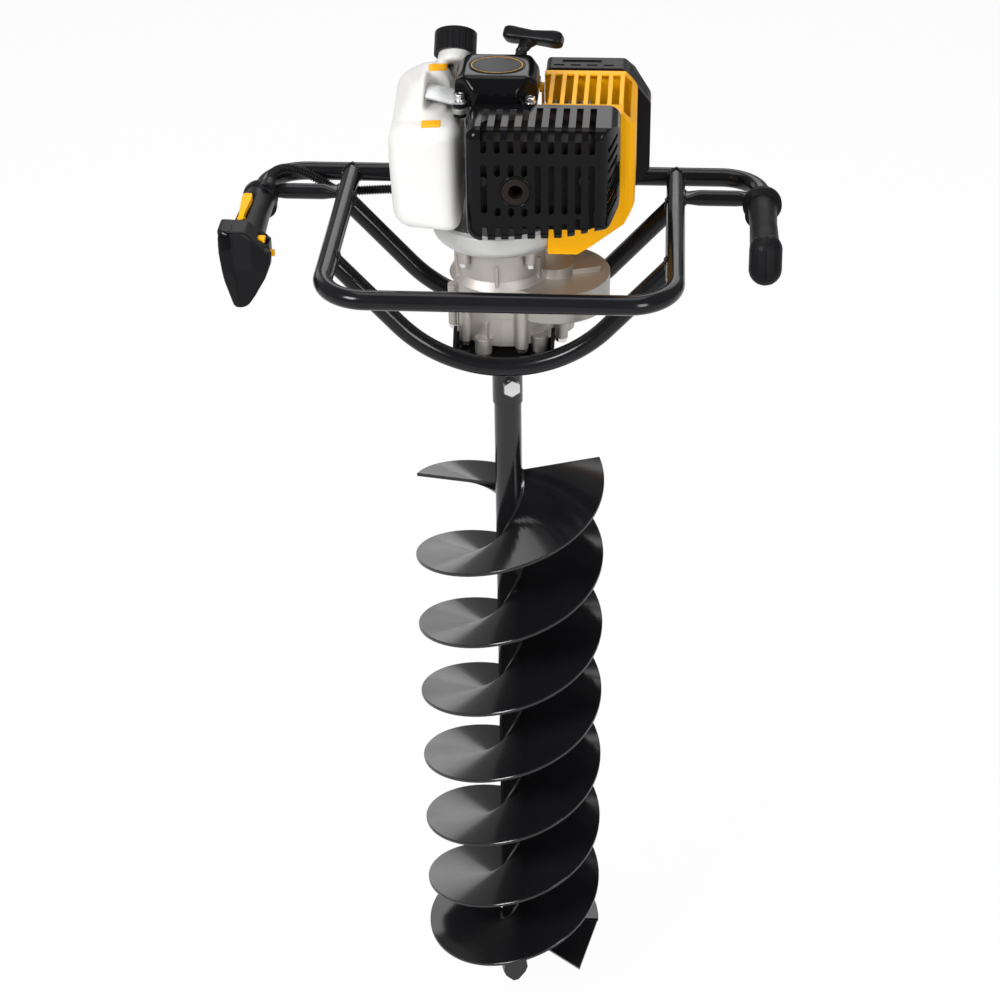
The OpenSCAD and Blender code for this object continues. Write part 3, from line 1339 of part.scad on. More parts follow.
module throttle_conduit() {
    total = route_len[len(route_len) - 1];
    sides = 8;
    r = conduit_d / 2;
    bore = r - 1.8;
    n = 4 * conduit_ribs;
    outer = [for (i = [0:2 * conduit_ribs - 1]) [total * i / (2 * conduit_ribs - 1), i % 2 == 0 ? r - 0.9 : r]];
    inner = [for (i = [60:-1:0]) [total * i / 60, bore]];
    rings = concat(outer, inner);
    points = [for (g = rings) let (s = min(max(g[0], 0.01), total - 0.01), p = route_at(s),
        t = unit(route_at(min(s + 0.5, total)) - route_at(max(s - 0.5, 0))),
        u = unit(cross(t, [0, 0, 1])), v = cross(u, t))
        each [for (k = [0:sides - 1]) p + g[1] * (cos(k * 360 / sides) * u + sin(k * 360 / sides) * v)]];
    m = len(rings);
    faces = [for (i = [0:m - 1], k = [0:sides - 1]) let (a = i * sides + k, b = i * sides + (k + 1) % sides,
        c = ((i + 1) % m) * sides + k, d = ((i + 1) % m) * sides + (k + 1) % sides) each [[a, b, d], [a, d, c]]];
    color("#202022") polyhedron(points, faces);
}

handlebar();
front_loop();
front_cradle_tube();
rear_cradle_tube();
left_brace();
right_brace();
saddle();
saddle_bolts();
lower_gear_case();
upper_gear_case();
gear_case_bolts();
output_seal();
gear_bearings();
fan_housing();
crankcase();
crank_bearings();
engine_cylinder();
spark_plug();
spark_plug_cap();
ignition_coil();
cylinder_shroud();
muffler();
muffler_guard();
intake_insulator();
carburettor();
air_cleaner_base();
air_filter();
air_cleaner_cover();
starter_housing();
starter_bolts();
fuel_tank();
tank_pads();
tank_bracket();
throttle_grip();
right_grip();
throttle_conduit();
output_shaft();
output_gear();
auger_tube();
auger_flight_a();
auger_flight_b();
cutter_blades();
centre_point();
coupling_bolt();
idler_gear();
idler_shaft();
clutch_drum();
input_pinion();
crankshaft();
flywheel_fan();
clutch_shoes();
throttle_trigger();
lockout_lever();
stop_switch();
hold_button();
fuel_cap();
pull_handle();
starter_pulley();
choke_lever();
primer_bulb();
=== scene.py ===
"""Looks of a petrol earth auger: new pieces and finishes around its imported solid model."""

import json
import math

import bmesh
import bpy
from mathutils import Matrix, Quaternion, Vector

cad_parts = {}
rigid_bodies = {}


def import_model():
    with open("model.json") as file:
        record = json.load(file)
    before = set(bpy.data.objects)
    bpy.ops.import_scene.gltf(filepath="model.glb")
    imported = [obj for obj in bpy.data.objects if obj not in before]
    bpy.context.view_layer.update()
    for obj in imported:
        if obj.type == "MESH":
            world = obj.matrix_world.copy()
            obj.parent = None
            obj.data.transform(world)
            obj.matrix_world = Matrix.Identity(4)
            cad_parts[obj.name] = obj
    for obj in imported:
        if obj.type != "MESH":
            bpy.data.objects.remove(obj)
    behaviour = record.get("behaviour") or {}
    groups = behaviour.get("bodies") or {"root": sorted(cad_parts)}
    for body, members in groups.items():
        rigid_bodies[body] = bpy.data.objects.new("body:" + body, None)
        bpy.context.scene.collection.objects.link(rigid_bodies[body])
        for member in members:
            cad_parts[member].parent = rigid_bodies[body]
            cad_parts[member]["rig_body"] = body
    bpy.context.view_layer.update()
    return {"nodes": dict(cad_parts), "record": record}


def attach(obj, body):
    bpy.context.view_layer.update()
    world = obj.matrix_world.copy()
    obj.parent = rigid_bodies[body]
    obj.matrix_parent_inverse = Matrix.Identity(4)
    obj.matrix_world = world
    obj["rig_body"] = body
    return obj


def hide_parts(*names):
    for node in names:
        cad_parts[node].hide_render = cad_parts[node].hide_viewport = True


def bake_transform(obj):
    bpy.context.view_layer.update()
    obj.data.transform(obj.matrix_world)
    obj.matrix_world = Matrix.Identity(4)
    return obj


bl_info = {
    "name": "Earth auger dressing",
    "version": (1, 0, 0),
    "blender": (4, 5, 0),
    "location": "View3D > Sidebar > Auger",
    "description": "Models the fine pieces of an earth auger and gives every part its finish",
    "category": "Object",
}

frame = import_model()
MM = 0.001
UP = Vector((0, 0, 1))


# Places on the solid model, in millimetres and degrees
RAIL_X = 166
HANDLE_X = 252
FRAME_Z = 1008
HANDLEBAR_Y = 128
CRADLE_Y = 65
CRADLE_SLOPE = 48
BRACE_Y = 79.3
TUBE_R = 9.5
STARTER_X = -6
STARTER_BOLT = 33
STARTER_FOOT_Z = 1156
OUTLET_X = 17
OUTLET_Z = 1099

# Conduit route: the points of the solid model, in millimetres
ROUTE = [(-243, 63, 1021.5), (-243, 78, 1021.5), (-241, 95, 1021.5), (-231, 107, 1020),
         (-215, 112, 1014), (-197, 113, 1004), (-184, 114, 995), (-166, 115, 992.5),
         (-148, 117, 992.5), (-125, 119, 993), (-100, 118, 994), (-70, 112, 1000),
         (-50, 100, 1015), (-35, 88, 1035), (-20, 76, 1060), (-4, 67, 1083),
         (12, 62, 1088), (23.95, 62, 1088)]
CONDUIT_SIDES = 16

# Flights: letter, start, and how much earlier each starts and later it ends, in degrees
FLIGHTS = (("a", 0, 0, -10), ("b", 180, 40, 20))
FLIGHT_STEPS = 252
FLIGHT_CHAMFER = 0.0006
FOOT_ARC = 90
WELD_SUNK = 0.0002

# Braces, in millimetres: half their length, the pressed end, the way to the round part, half sizes
BRACE_HALF = 35.5
BRACE_FLAT = 2
BRACE_EASE = 16
BRACE_FLAT_SIZE = (9, 4.5)
BRACE_ROUND_SIZE = 8

# Muffler guard, in millimetres: corners (x, z, radius) of the outline, ends (z, z) of the slots
GUARD_OUTLINE = ((-30, 1044, 14), (60, 1049, 30), (102, 1059, 12), (112, 1074, 11), (112, 1160, 12),
                 (-30, 1160, 12))
GUARD_FRONT = -105
GUARD_BACK = -45
SLOT_COUNT = 9
SLOT_FIRST_X = -12.2
SLOT_PITCH = 12.4
SLOT_R = 3.0
TOP_SLOT = (1140, 1190)
FRONT_SLOT = (1080, 1123)
OUTLET_SLOTS = ((1117, 1123), (1077, 1080))
OUTLET_R = 13.7
NOTCH_HALF = (3.4, 2)
NOTCH_Z = (-16, 11)

# How far each kind of opening is cut along Y, in millimetres
OUTLET_CUT = (-107, -97)
TOP_CUT = (-110, -53)
FRONT_CUT = (-110, -95)
NOTCH_CUT = (-110, -86)

# Louvres of the guard's right side, and the bend of its front towards them
LOUVRE_COUNT = 7
LOUVRE_AT = (0.106, -0.09, 1.08)
LOUVRE_STEP = 0.0105
LOUVRE_SIZE = (0.021, 0.014, 0.0042)
LOUVRE_TURN = (0, math.radians(-30), math.radians(64.5))
BEND_X = (0.092, 0.0945, 0.097, 0.0995, 0.102, 0.1045, 0.107, 0.1095)
BEND_WIDTH = 0.02
BEND_DEPTH = 0.03

# Shroud trim: middle and size in millimetres, and the finish
SHROUD_TRIM = {"grille_band": ((75.5, -31.5, 1150), (77, 23, 0.9), "yellow_plastic"),
               # The dark sheet behind the muffler is painted shade: it darkens what shows through the guard's
               # slots.
               "heat_shield": ((68, -45.6, 1116.5), (80, 0.8, 81), "insulator")}

# Lift of the starter's bolts in millimetres, and its oval: length to width, then (inset, rise) of its steps
BOLT_LIFT = 0.05
BRACKET_LIFT = 1.7
OVAL_STRETCH = 1.25
OVAL_STEPS = ((0.0012, 0.0005), (0.0011, -0.0004), (0.006, 0.0001), (0.008, 0.0001))

# Starter handle: rope exit, lean and turn, middle and half sizes of the bar
ROPE_EXIT = (0.014, 0.033, 1.170)
PULL_LEAN = math.radians(-45)
BAR_TURN = math.radians(-16)
BAR_AT = Vector((0.0115, 0, 0.0251))
BAR_HALF = Vector((0.0296, 0.0098, 0.0074))
BAR_POWERS = (0.36, 0.45, 0.45)
BAR_WAIST = 0.2
BAR_DISH = 0.0012

# Rings of the handle's boot, in millimetres: height, middle, half width and half depth
BOOT_RINGS = ((4.6, 0, 4.4, 3.5), (5.4, 0, 5.3, 3.9), (8.4, 0.3, 5.8, 4.0), (9.0, 0.4, 5.2, 3.6),
              (10.2, 0.7, 5.4, 3.7), (10.8, 0.8, 6.2, 4.3), (13.2, 2.4, 6.8, 4.9), (13.8, 2.8, 6.3, 4.5),
              (15, 3.8, 6.8, 4.8), (15.6, 4.4, 7.6, 5.4), (19, 7.6, 9.4, 6.0), (23, 10.4, 12.5, 6.4))

# Right grip's seam: the two middles and the radius of its bulb, in millimetres
BULB_TOP = Vector((252, -49, 1016))
BULB_LOW = Vector((252, -55, 999))
BULB_R = 16.0

# Moulded shells: node, voxel size, rounds of smoothing, finish
MOULDED = (("fuel_tank", 0.0016, 24, "tank_white"), ("throttle_grip", 0.0008, 7, "grip_plastic"),
           ("starter_housing", 0.0008, 70, "black_gloss"))

# Throttle grip's head, in millimetres from the handle's middle: (height, side) before and after
HEAD_OUTER_OLD = ((-41, -8), (8, -26), (30, -24), (35, -14))
HEAD_OUTER_NEW = ((-41, -4), (-14, -12), (14, -16.5), (35, -17))
HEAD_INNER_OLD = ((-41, 9), (14, 29))
HEAD_INNER_NEW = ((-41, 9), (-30, 17), (-13, 27), (2, 33), (14, 34))
HEAD_RIDGE = ((-40, 1.5), (33, -6.7))
HEAD_MIDDLE = 2
HEAD_TOP = 14
# How far in front of the frame's middle each change starts, and over how much it grows
OUTER_GROWS = (47, 13)
INNER_GROWS = (72, 8)
RIDGE_GROWS = (60, 22)
RIDGE_RISE = 6
RIDGE_WIDTH = 20

# Lock-out lever, in millimetres: its middle, its low end, its length and its round upper end
LEVER_X = -258
LEVER_LOW_Y = -18
LEVER_LENGTH = 54
LEVER_NARROW = 0.52
LEVER_TIP_Y = 24.5
LEVER_TIP_R = 9.4
LEVER_TIP_LEAST = 0.3

# Thin patches: node, finish, rise, thickness, and corners in the camera's picture of 1000 by 1000 pixels
PICTURE = 1000
LABEL = ("fuel_tank", "yellow_plastic", 0.00025, 0.0003)
SEAM = ("throttle_grip", "seal_rubber", 0.00012, 0.0006)
PANEL = ("throttle_grip", "black_gloss", 0.0007, 0.0012)
PATCHES = {"tank_label_upper": (*LABEL, (428.6, 64.2), (447.4, 63.6), (446.6, 70.4), (428.8, 71)),
           "tank_label_lower": (*LABEL, (421.2, 120.9), (440.6, 120.2), (440.2, 127.2), (421.0, 128)),
           "grip_seam_upper": (*SEAM, (230.9, 225), (231.7, 225), (233.3, 261), (232.5, 261)),
           "grip_seam_lower": (*SEAM, (232.5, 261), (233.3, 261), (239.9, 299), (239.1, 299)),
           "grip_panel": (*PANEL, (219.4, 233.5), (229.6, 231), (230.8, 248.6), (221.6, 252))}

# Studio: place, aim, size and power of each lamp, white of the floor, light of the sky, the camera's way
LAMPS = {"key_box": ((-1.6, -1.9, 2.6), (0, 0, 0.8), (0.9, 0.9), 78),
         "fill_box": ((1.5, -2.3, 1.8), (0, 0, 0.8), (0.8, 1.2), 44),
         "top_box": ((0.0, 0.5, 3.2), (0, 0, 0.9), (1.4, 1.4), 17),
         "back_box": ((0.4, 2.5, 2.7), (0, 0, 0.9), (2.6, 1.3), 27),
         "rim_box": ((-1.9, 2.1, 1.9), (0, 0, 0.7), (1.0, 1.6), 7)}
FLOOR_WHITE = 0.95
SKY_LIGHT = 0.3
CAMERA_LOOK = Vector((-0.0629, 0.8361, -0.5449))
CAMERA_ROLL = math.radians(0.88)


# Settings


def length(name, text, value, low=0.0, high=2.0):
    """A size that a user may change."""
    return bpy.props.FloatProperty(name=name, description=text, default=value, min=low, max=high,
                                   unit="LENGTH", precision=4)


def tint(name, text, value):
    """A colour that a user may change."""
    return bpy.props.FloatVectorProperty(name=name, description=text, default=value, size=3, min=0.0,
                                         max=1.0, subtype="COLOR")


class BitSettings(bpy.types.PropertyGroup):
    """Sizes of the drill bit's plates and welds."""

    plate: length("Flight plate", "Thickness of the flight plates", 0.004, 0.001, 0.01)
    lead: length("Lead", "Rise of a flight in one turn", 0.183, 0.05, 0.4)
    foot: length("Foot height", "Height at which a flight would start without its flat foot", 0.075)
    lift: length("Foot lift", "How far the flat foot of a flight is lifted", 0.025, 0.0, 0.05)
    turns: bpy.props.FloatProperty(name="Turns", description="Turns of each flight", default=3.5, min=0.5,
                                   max=6)
    outer: length("Bit radius", "Outer radius of the flights", 0.1, 0.05, 0.15)
    inner: length("Tube radius", "Radius at which a flight meets the drill tube", 0.01405, 0.005, 0.05)
    root_weld: length("Root weld", "Leg of the weld along a flight's root", 0.003, 0.001, 0.008)


class TrimSettings(bpy.types.PropertyGroup):
    """Sizes of beads, the conduit and the muffler guard."""

    bead: length("Weld bead", "Radius of the weld beads on the tube frame", 0.0017, 0.0005, 0.004)
    conduit: length("Conduit", "Outer diameter of the ribbed conduit", 0.0102, 0.004, 0.02)
    rib_pitch: length("Rib pitch", "Spacing of the conduit's ribs", 0.0027, 0.001, 0.01)
    rib_depth: length("Rib depth", "Depth of the grooves between the conduit's ribs", 0.0012, 0.0002, 0.002)
    guard_wall: length("Guard wall", "Thickness of the muffler guard", 0.0015, 0.0005, 0.004)
    guard_edge: length("Guard edge", "Radius of the muffler guard's front edges", 0.0105, 0.002, 0.0115)


class ColourSettings(bpy.types.PropertyGroup):
    """Base colours of the finishes."""

    gloss_black: tint("Black paint", "Paint on the frame and the bit", (0.006, 0.006, 0.007))
    yellow: tint("Yellow", "Moulded yellow covers and controls", (0.93, 0.43, 0.003))
    tank: tint("Tank", "Milky tank plastic", (0.72, 0.712, 0.69))
    cast: tint("Cast metal", "Bare die-cast aluminium", (0.47, 0.44, 0.41))
    fan: tint("Fan housing", "Pale grey coated housing", (0.62, 0.62, 0.61))
    rubber: tint("Rubber", "Grips and pads", (0.007, 0.007, 0.008))
    floor: tint("Floor", "Pale studio floor", (0.93, 0.93, 0.93))


# Finishes


class Val:
    """A number that a node gives. Sums on it add Math nodes."""

    def __init__(self, finish, socket):
        self.finish = finish
        self.socket = socket

    def sum(self, operation, other):
        return self.finish.node("ShaderNodeMath", {"operation": operation}, {0: self, 1: other})

    def __add__(self, other):
        return self.sum("ADD", other)

    def __sub__(self, other):
        return self.sum("SUBTRACT", other)

    def __mul__(self, other):
        return self.sum("MULTIPLY", other)


class Finish:
    """One procedural material on a piece's own coordinates."""

    def __init__(self, name, **fixed):
        self.material = bpy.data.materials.new(name)
        self.material.use_nodes = True
        self.tree = self.material.node_tree
        self.tree.nodes.clear()
        self.shader = self.tree.nodes.new("ShaderNodeBsdfPrincipled")
        self.output = self.tree.nodes.new("ShaderNodeOutputMaterial")
        self.tree.links.new(self.shader.outputs[0], self.output.inputs["Surface"])
        self.set(**fixed)

    def node(self, kind, settings=None, inputs=None, out=0):
        made = self.tree.nodes.new(kind)
        for key, value in (settings or {}).items():
            setattr(made, key, value)
        for key, value in (inputs or {}).items():
            self.feed(made.inputs[key], value)
        return Val(self, made.outputs[out])

    def feed(self, socket, value):
        if isinstance(value, Val):
            self.tree.links.new(value.socket, socket)
        else:
            socket.default_value = value

    def set(self, **inputs):
        """Feeds the shader's sockets, which are named in lower case with underscores."""
        for key, value in inputs.items():
            self.feed(self.shader.inputs[key.replace("_", " ").title().replace("Ior", "IOR")], value)
        return self

    def place(self, scale=(1, 1, 1)):
        at = self.node("ShaderNodeTexCoord", out=3)
        return self.node("ShaderNodeMapping", None, {"Vector": at, "Scale": scale})

    def noise(self, scale, detail=3.0, rough=0.55, at=None, warp=0.0):
        inputs = {"Vector": at or self.place(), "Scale": scale, "Detail": detail, "Roughness": rough,
                  "Distortion": warp}
        return self.node("ShaderNodeTexNoise", None, inputs)

    def cells(self, scale):
        return self.node("ShaderNodeTexVoronoi", None, {"Vector": self.place(), "Scale": scale})

    def span(self, value, low, high, to_low=0.0, to_high=1.0):
        """Maps the range from low to high, and no further."""
        limits = {0: value, 1: low, 2: high, 3: to_low, 4: to_high}
        return self.node("ShaderNodeMapRange", {"clamp": True}, limits)

    def ramp(self, value, *stops):
        made = self.node("ShaderNodeValToRGB", None, {0: value})
        elements = made.socket.node.color_ramp.elements
        while len(elements) < len(stops):
            elements.new(0.5)
        for element, (at, colour) in zip(elements, stops):
            element.position = at
            element.color = (*colour, 1)
        return made

    def mix(self, factor, a, b):
        a, b = (v if isinstance(v, Val) else (*v, 1) for v in (a, b))
        return self.node("ShaderNodeMix", {"data_type": "RGBA"}, {0: factor, 6: a, 7: b}, 2)

    def height(self):
        return self.node("ShaderNodeSeparateXYZ", None, {0: self.place()}, "Z")

    def bump(self, height, distance, strength=1.0, over=None):
        inputs = {"Height": height, "Distance": distance, "Strength": strength}
        if over:
            inputs["Normal"] = over
        return self.node("ShaderNodeBump", None, inputs)

    def soft_edge(self, radius):
        return self.node("ShaderNodeBevel", {"samples": 4}, {"Radius": radius})


def shade(colour, factor):
    """The colour, made lighter or darker."""
    return tuple(min(1.0, c * factor) for c in colour)


def paint(name, colour, rough, edge, shine):
    """Gloss paint: orange peel, a faint haze of dust and small scuffs."""
    f = Finish(name, ior=1.5, specular_ior_level=shine)
    dust = f.noise(14, 5, 0.6)
    scuff = f.span(f.noise(95, 6, 0.7, f.place((1, 1, 0.25))), 0.63, 0.72)
    peel = f.noise(420, 2, 0.5)
    f.set(base_color=f.mix(f.span(dust, 0.35, 0.75, 0.0, 0.35), colour, shade(colour, 2.2)),
          roughness=f.span(dust, 0.3, 0.7, rough * 0.8, rough * 1.5) + scuff * 0.12,
          normal=f.bump(peel, 0.00006, 0.35, f.soft_edge(edge)))
    return f


def moulded(name, colour, rough, grain=900, depth=0.00005, edge=0.0008, shine=0.3):
    """Injection-moulded plastic: fine grain, slight flow marks and worn shine."""
    f = Finish(name, ior=1.49, specular_ior_level=shine)
    flow = f.noise(9, 4, 0.55, f.place((1, 1, 0.4)), 0.6)
    fine = f.noise(grain, 2, 0.6)
    worn = f.span(flow, 0.3, 0.7, rough * 0.88, rough * 1.12)
    f.set(base_color=f.mix(f.span(flow, 0.3, 0.75), shade(colour, 0.93), shade(colour, 1.07)),
          roughness=worn + f.span(fine, 0.4, 0.7, -0.02, 0.03),
          normal=f.bump(fine, depth, 0.5, f.soft_edge(edge)))
    return f


def casting(name, colour, rough, pits=0.5):
    """Die-cast aluminium: sandy skin, cold flow clouds and dark pits in the lows."""
    f = Finish(name, ior=1.6)
    cloud = f.noise(11, 5, 0.6, None, 0.4)
    sand = f.noise(620, 3, 0.7)
    pit = f.span(f.cells(240), 0.0, 0.16, 1.0, 0.0)
    body = f.mix(f.span(cloud, 0.3, 0.72), shade(colour, 0.82), shade(colour, 1.1))
    dull = f.span(cloud, 0.3, 0.7, rough * 0.85, rough * 1.2)
    f.set(base_color=f.mix(pit * pits, body, shade(colour, 0.45)),
          roughness=dull + f.span(sand, 0.35, 0.7, -0.05, 0.07),
          metallic=f.span(cloud, 0.2, 0.8, 0.72, 0.9),
          normal=f.bump(sand - pit * 0.6, 0.00012, 0.6, f.soft_edge(0.0012)))
    return f


def plated(name, colour, rough=0.24, lines=(1, 1, 30)):
    """Plated or ground steel: fine turning marks and faint tarnish."""
    f = Finish(name, ior=2.2)
    tarnish = f.noise(60, 4, 0.6)
    marks = f.noise(90, 3, 0.6, f.place(lines))
    f.set(base_color=f.mix(f.span(tarnish, 0.35, 0.7), shade(colour, 0.85), colour),
          roughness=f.span(marks, 0.3, 0.7, rough * 0.7, rough * 1.5),
          metallic=f.span(tarnish, 0.2, 0.8, 0.93, 1.0),
          normal=f.bump(marks, 0.00003, 0.4, f.soft_edge(0.0004)))
    return f


def rubbery(name, colour, rough, grain, edge):
    """Moulded rubber: pebbled grain with paler, polished high spots."""
    f = Finish(name, ior=1.45, specular_ior_level=0.08)
    pebble = f.cells(grain)
    wear = f.noise(26, 4, 0.6)
    f.set(base_color=f.mix(f.span(wear, 0.4, 0.75, 0.0, 0.6), colour, shade(colour, 1.9)),
          roughness=f.span(wear, 0.35, 0.75, rough, rough * 0.72),
          normal=f.bump(pebble, 0.00009, 0.5, f.soft_edge(edge)))
    return f


def milky(name, colour):
    """Blow-moulded tank plastic: milky, faintly waxy, with slow waves, and painted shade that darkens it
    towards its top.
    """
    f = Finish(name, ior=1.5, subsurface_weight=0.25, subsurface_radius=(0.02, 0.018, 0.014),
               subsurface_scale=0.4)
    wave = f.noise(7, 3, 0.5)
    fine = f.noise(480, 2, 0.6)
    # Painted shade: the colour grows darker with height, to tone down the light falling on the tank's top.
    body = f.mix(f.span(f.height(), 1.05, 1.17), shade(colour, 1.04), shade(colour, 0.84))
    f.set(base_color=f.mix(f.span(wave, 0.35, 0.75, 0.0, 0.5), body, shade(colour, 0.96)),
          roughness=f.span(wave, 0.3, 0.7, 0.36, 0.48),
          normal=f.bump(fine, 0.00005, 0.45))
    return f


def heat_stained(name, colour):
    """Muffler sheet: dark brown heat tints over dull steel."""
    f = Finish(name, ior=1.5, specular_ior_level=0.2)
    heat = f.noise(18, 4, 0.6, None, 1.2)
    grain = f.noise(300, 4, 0.7)
    f.set(base_color=f.ramp(heat, (0.3, (0.004, 0.0035, 0.0035)), (0.5, colour),
                            (0.62, (0.016, 0.011, 0.008)), (0.75, (0.006, 0.0055, 0.006))),
          roughness=f.span(grain, 0.3, 0.7, 0.42, 0.65),
          metallic=f.span(heat, 0.3, 0.7, 0.1, 0.3),
          normal=f.bump(grain, 0.00008, 0.5, f.soft_edge(0.001)))
    return f


def open_foam(name, colour):
    """Filter foam: dark open pores."""
    f = Finish(name, ior=1.4)
    pores = f.span(f.cells(700), 0.1, 0.45)
    f.set(base_color=f.mix(pores, shade(colour, 0.25), colour),
          roughness=f.span(pores, 0, 1, 0.98, 0.85),
          normal=f.bump(pores, 0.0006, 0.9))
    return f


def studio(name, colour):
    """Pale floor that the camera and reflections see as white, apart from a faint shadow."""
    f = Finish(name, ior=1.3, specular_ior_level=0.0)
    mottle = f.noise(3, 3, 0.5)
    f.set(base_color=f.mix(f.span(mottle, 0.3, 0.7), shade(colour, 0.995), colour),
          roughness=f.span(mottle, 0.3, 0.7, 0.9, 1.0))
    seen = f.node("ShaderNodeLightPath", out="Is Camera Ray")
    seen = seen.sum("MAXIMUM", f.node("ShaderNodeLightPath", out="Is Glossy Ray"))
    white = f.node("ShaderNodeEmission", None, {"Color": (1, 1, 1, 1), "Strength": 1.0})
    layers = {0: seen * FLOOR_WHITE, 1: Val(f, f.shader.outputs[0]), 2: white}
    both = f.node("ShaderNodeMixShader", None, layers)
    f.tree.links.new(both.socket, f.output.inputs["Surface"])
    return f


FINISHES = {}


def finish_table(c):
    """All finishes, by the name of the record's material slot."""
    black = tuple(c.gloss_black)
    yellow = tuple(c.yellow)
    rubber = tuple(c.rubber)
    return {
        "frame_paint": paint("FramePaint", black, 0.14, 0.0007, 0.22),
        "bit_paint": paint("BitPaint", black, 0.12, 0.0006, 0.45),
        "guard_black": paint("GuardEnamel", shade(black, 0.6), 0.1, 0.0006, 0.11),
        "black_gloss": moulded("StarterGloss", shade(black, 0.6), 0.12, 1200, 0.00002, 0.0008, 0.13),
        "black_plastic": moulded("CoverBlack", (0.008, 0.008, 0.009), 0.34, 800, 0.00006, 0.0008, 0.12),
        "grip_plastic": moulded("GripPlastic", (0.007, 0.007, 0.008), 0.36, 700, 0.00008, 0.001, 0.1),
        "yellow_plastic": moulded("YellowCover", shade(yellow, 0.94), 0.34, 1000, 0.00004, 0.0009, 0.09),
        "tank_white": milky("TankMilk", tuple(c.tank)),
        "cast": casting("GearHousingCast", tuple(c.cast), 0.5),
        "fan_grey": casting("FanCasting", tuple(c.fan), 0.5, 0.2),
        "engine_metal": casting("EngineCasting", (0.42, 0.42, 0.41), 0.45),
        "bearing_steel": plated("BearingSteel", (0.6, 0.6, 0.62)),
        "gear_steel": plated("GearSteel", (0.36, 0.36, 0.38), 0.3),
        "bolt_steel": plated("ZincBolt", (0.74, 0.74, 0.74), 0.2),
        "dark_bolt": plated("DarkBolt", (0.09, 0.09, 0.1), 0.34),
        "sheet_steel": plated("SheetSteel", (0.52, 0.53, 0.54), 0.3, (1, 18, 1)),
        "seal_rubber": rubbery("SealRubber", rubber, 0.6, 800, 0.0005),
        "grip_rubber": rubbery("GripRubber", rubber, 0.5, 520, 0.001),
        "muffler_steel": heat_stained("MufflerSteel", (0.009, 0.007, 0.006)),
        "ceramic": moulded("GlazedCeramic", (0.8, 0.79, 0.76), 0.15, 500, 0.00002),
        "insulator": moulded("InsulatorBlock", (0.02, 0.014, 0.012), 0.55, 500, 0.0001),
        "foam": open_foam("FilterFoam", (0.24, 0.24, 0.17)),
        "primer_clear": moulded("PrimerBulb", (0.66, 0.58, 0.4), 0.25, 600, 0.00003),
        "pulley_plastic": moulded("PulleyPlastic", (0.5, 0.43, 0.28), 0.45, 700),
    }


# Modelling helpers


def clear_selection():
    if bpy.context.object and bpy.context.object.mode != "OBJECT":
        bpy.ops.object.mode_set(mode="OBJECT")
    bpy.ops.object.select_all(action="DESELECT")


def activate(piece):
    """Makes a piece the active one, in object mode."""
    clear_selection()
    piece.select_set(True)
    bpy.context.view_layer.objects.active = piece
    return piece


def new_object(name, data):
    """An object in the scene with its own mesh, lamp or camera."""
    data.name = name
    made = bpy.data.objects.new(name, data)
    bpy.context.scene.collection.objects.link(made)
    return activate(made)


def add(name, kind, **settings):
    """Adds a primitive and opens it for editing."""
    clear_selection()
    getattr(bpy.ops.mesh, f"primitive_{kind}_add")(**settings)
    piece = bpy.context.object
    piece.name = name
    piece.data.name = name
    bpy.ops.object.mode_set(mode="EDIT")
    return piece


def settle():
    """Closes the open piece and takes its placement into its mesh."""
    bpy.ops.object.mode_set(mode="OBJECT")
    bpy.ops.object.transform_apply(location=True, rotation=True, scale=True)


def pick(test, kind):
    """Selects what passes the test in the open mesh, and nothing else."""
    mesh = bmesh.from_edit_mesh(bpy.context.object.data)
    bpy.ops.mesh.select_all(action="DESELECT")
    bpy.ops.mesh.select_mode(type={"edges": "EDGE", "faces": "FACE"}[kind])
    found = 0
    for part in getattr(mesh, kind):
        hit = bool(test(part))
        part.select_set(hit)
        found += hit
    mesh.select_flush_mode()
    bmesh.update_edit_mesh(bpy.context.object.data)
    if not found:
        raise RuntimeError(f"nothing to pick on {bpy.context.object.name}")


def upward(face):
    return face.normal.z > 0.9


def downward(face):
    return face.normal.z < -0.9


def put(points):
    """Moves the vertices of the open mesh to the points, in their order."""
    mesh = bmesh.from_edit_mesh(bpy.context.object.data)
    for v, at in zip(mesh.verts, points):
        v.co = at
    bmesh.update_edit_mesh(bpy.context.object.data)


def shape(move):
    """Moves every vertex of the open mesh to the place that move gives."""
    mesh = bmesh.from_edit_mesh(bpy.context.object.data)
    for v in mesh.verts:
        v.co = move(v.co)
    bmesh.update_edit_mesh(bpy.context.object.data)


def extrude(way):
    """Draws out the selected face."""
    bpy.ops.mesh.extrude_region_move(TRANSFORM_OT_translate={"value": way})


def step_in(inset, rise):
    """Insets the selected face and lifts it."""
    bpy.ops.mesh.inset(thickness=inset)
    bpy.ops.transform.translate(value=(0, 0, rise))


def modify(piece, kind, **settings):
    """Adds a modifier and applies it."""
    if piece.mode != "OBJECT":
        bpy.ops.object.mode_set(mode="OBJECT")
    made = piece.modifiers.new(kind.title(), kind)
    for key, value in settings.items():
        setattr(made, key, value)
    bpy.ops.object.modifier_apply(modifier=made.name)


def break_edges(piece, width, angle):
    """Rounds the edges that are sharper than the angle."""
    modify(piece, "BEVEL", width=width, segments=2, limit_method="ANGLE", angle_limit=math.radians(angle))


def join(pieces):
    """Joins pieces into the first of them, in their order."""
    clear_selection()
    bpy.context.view_layer.update()
    first = pieces[0]
    whole = bmesh.new()
    for piece in pieces:
        piece.data.transform(piece.matrix_world)
        whole.from_mesh(piece.data)
    whole.to_mesh(first.data)
    whole.free()
    first.matrix_world = Matrix.Identity(4)
    for piece in pieces[1:]:
        bpy.data.objects.remove(piece)
    return activate(first)


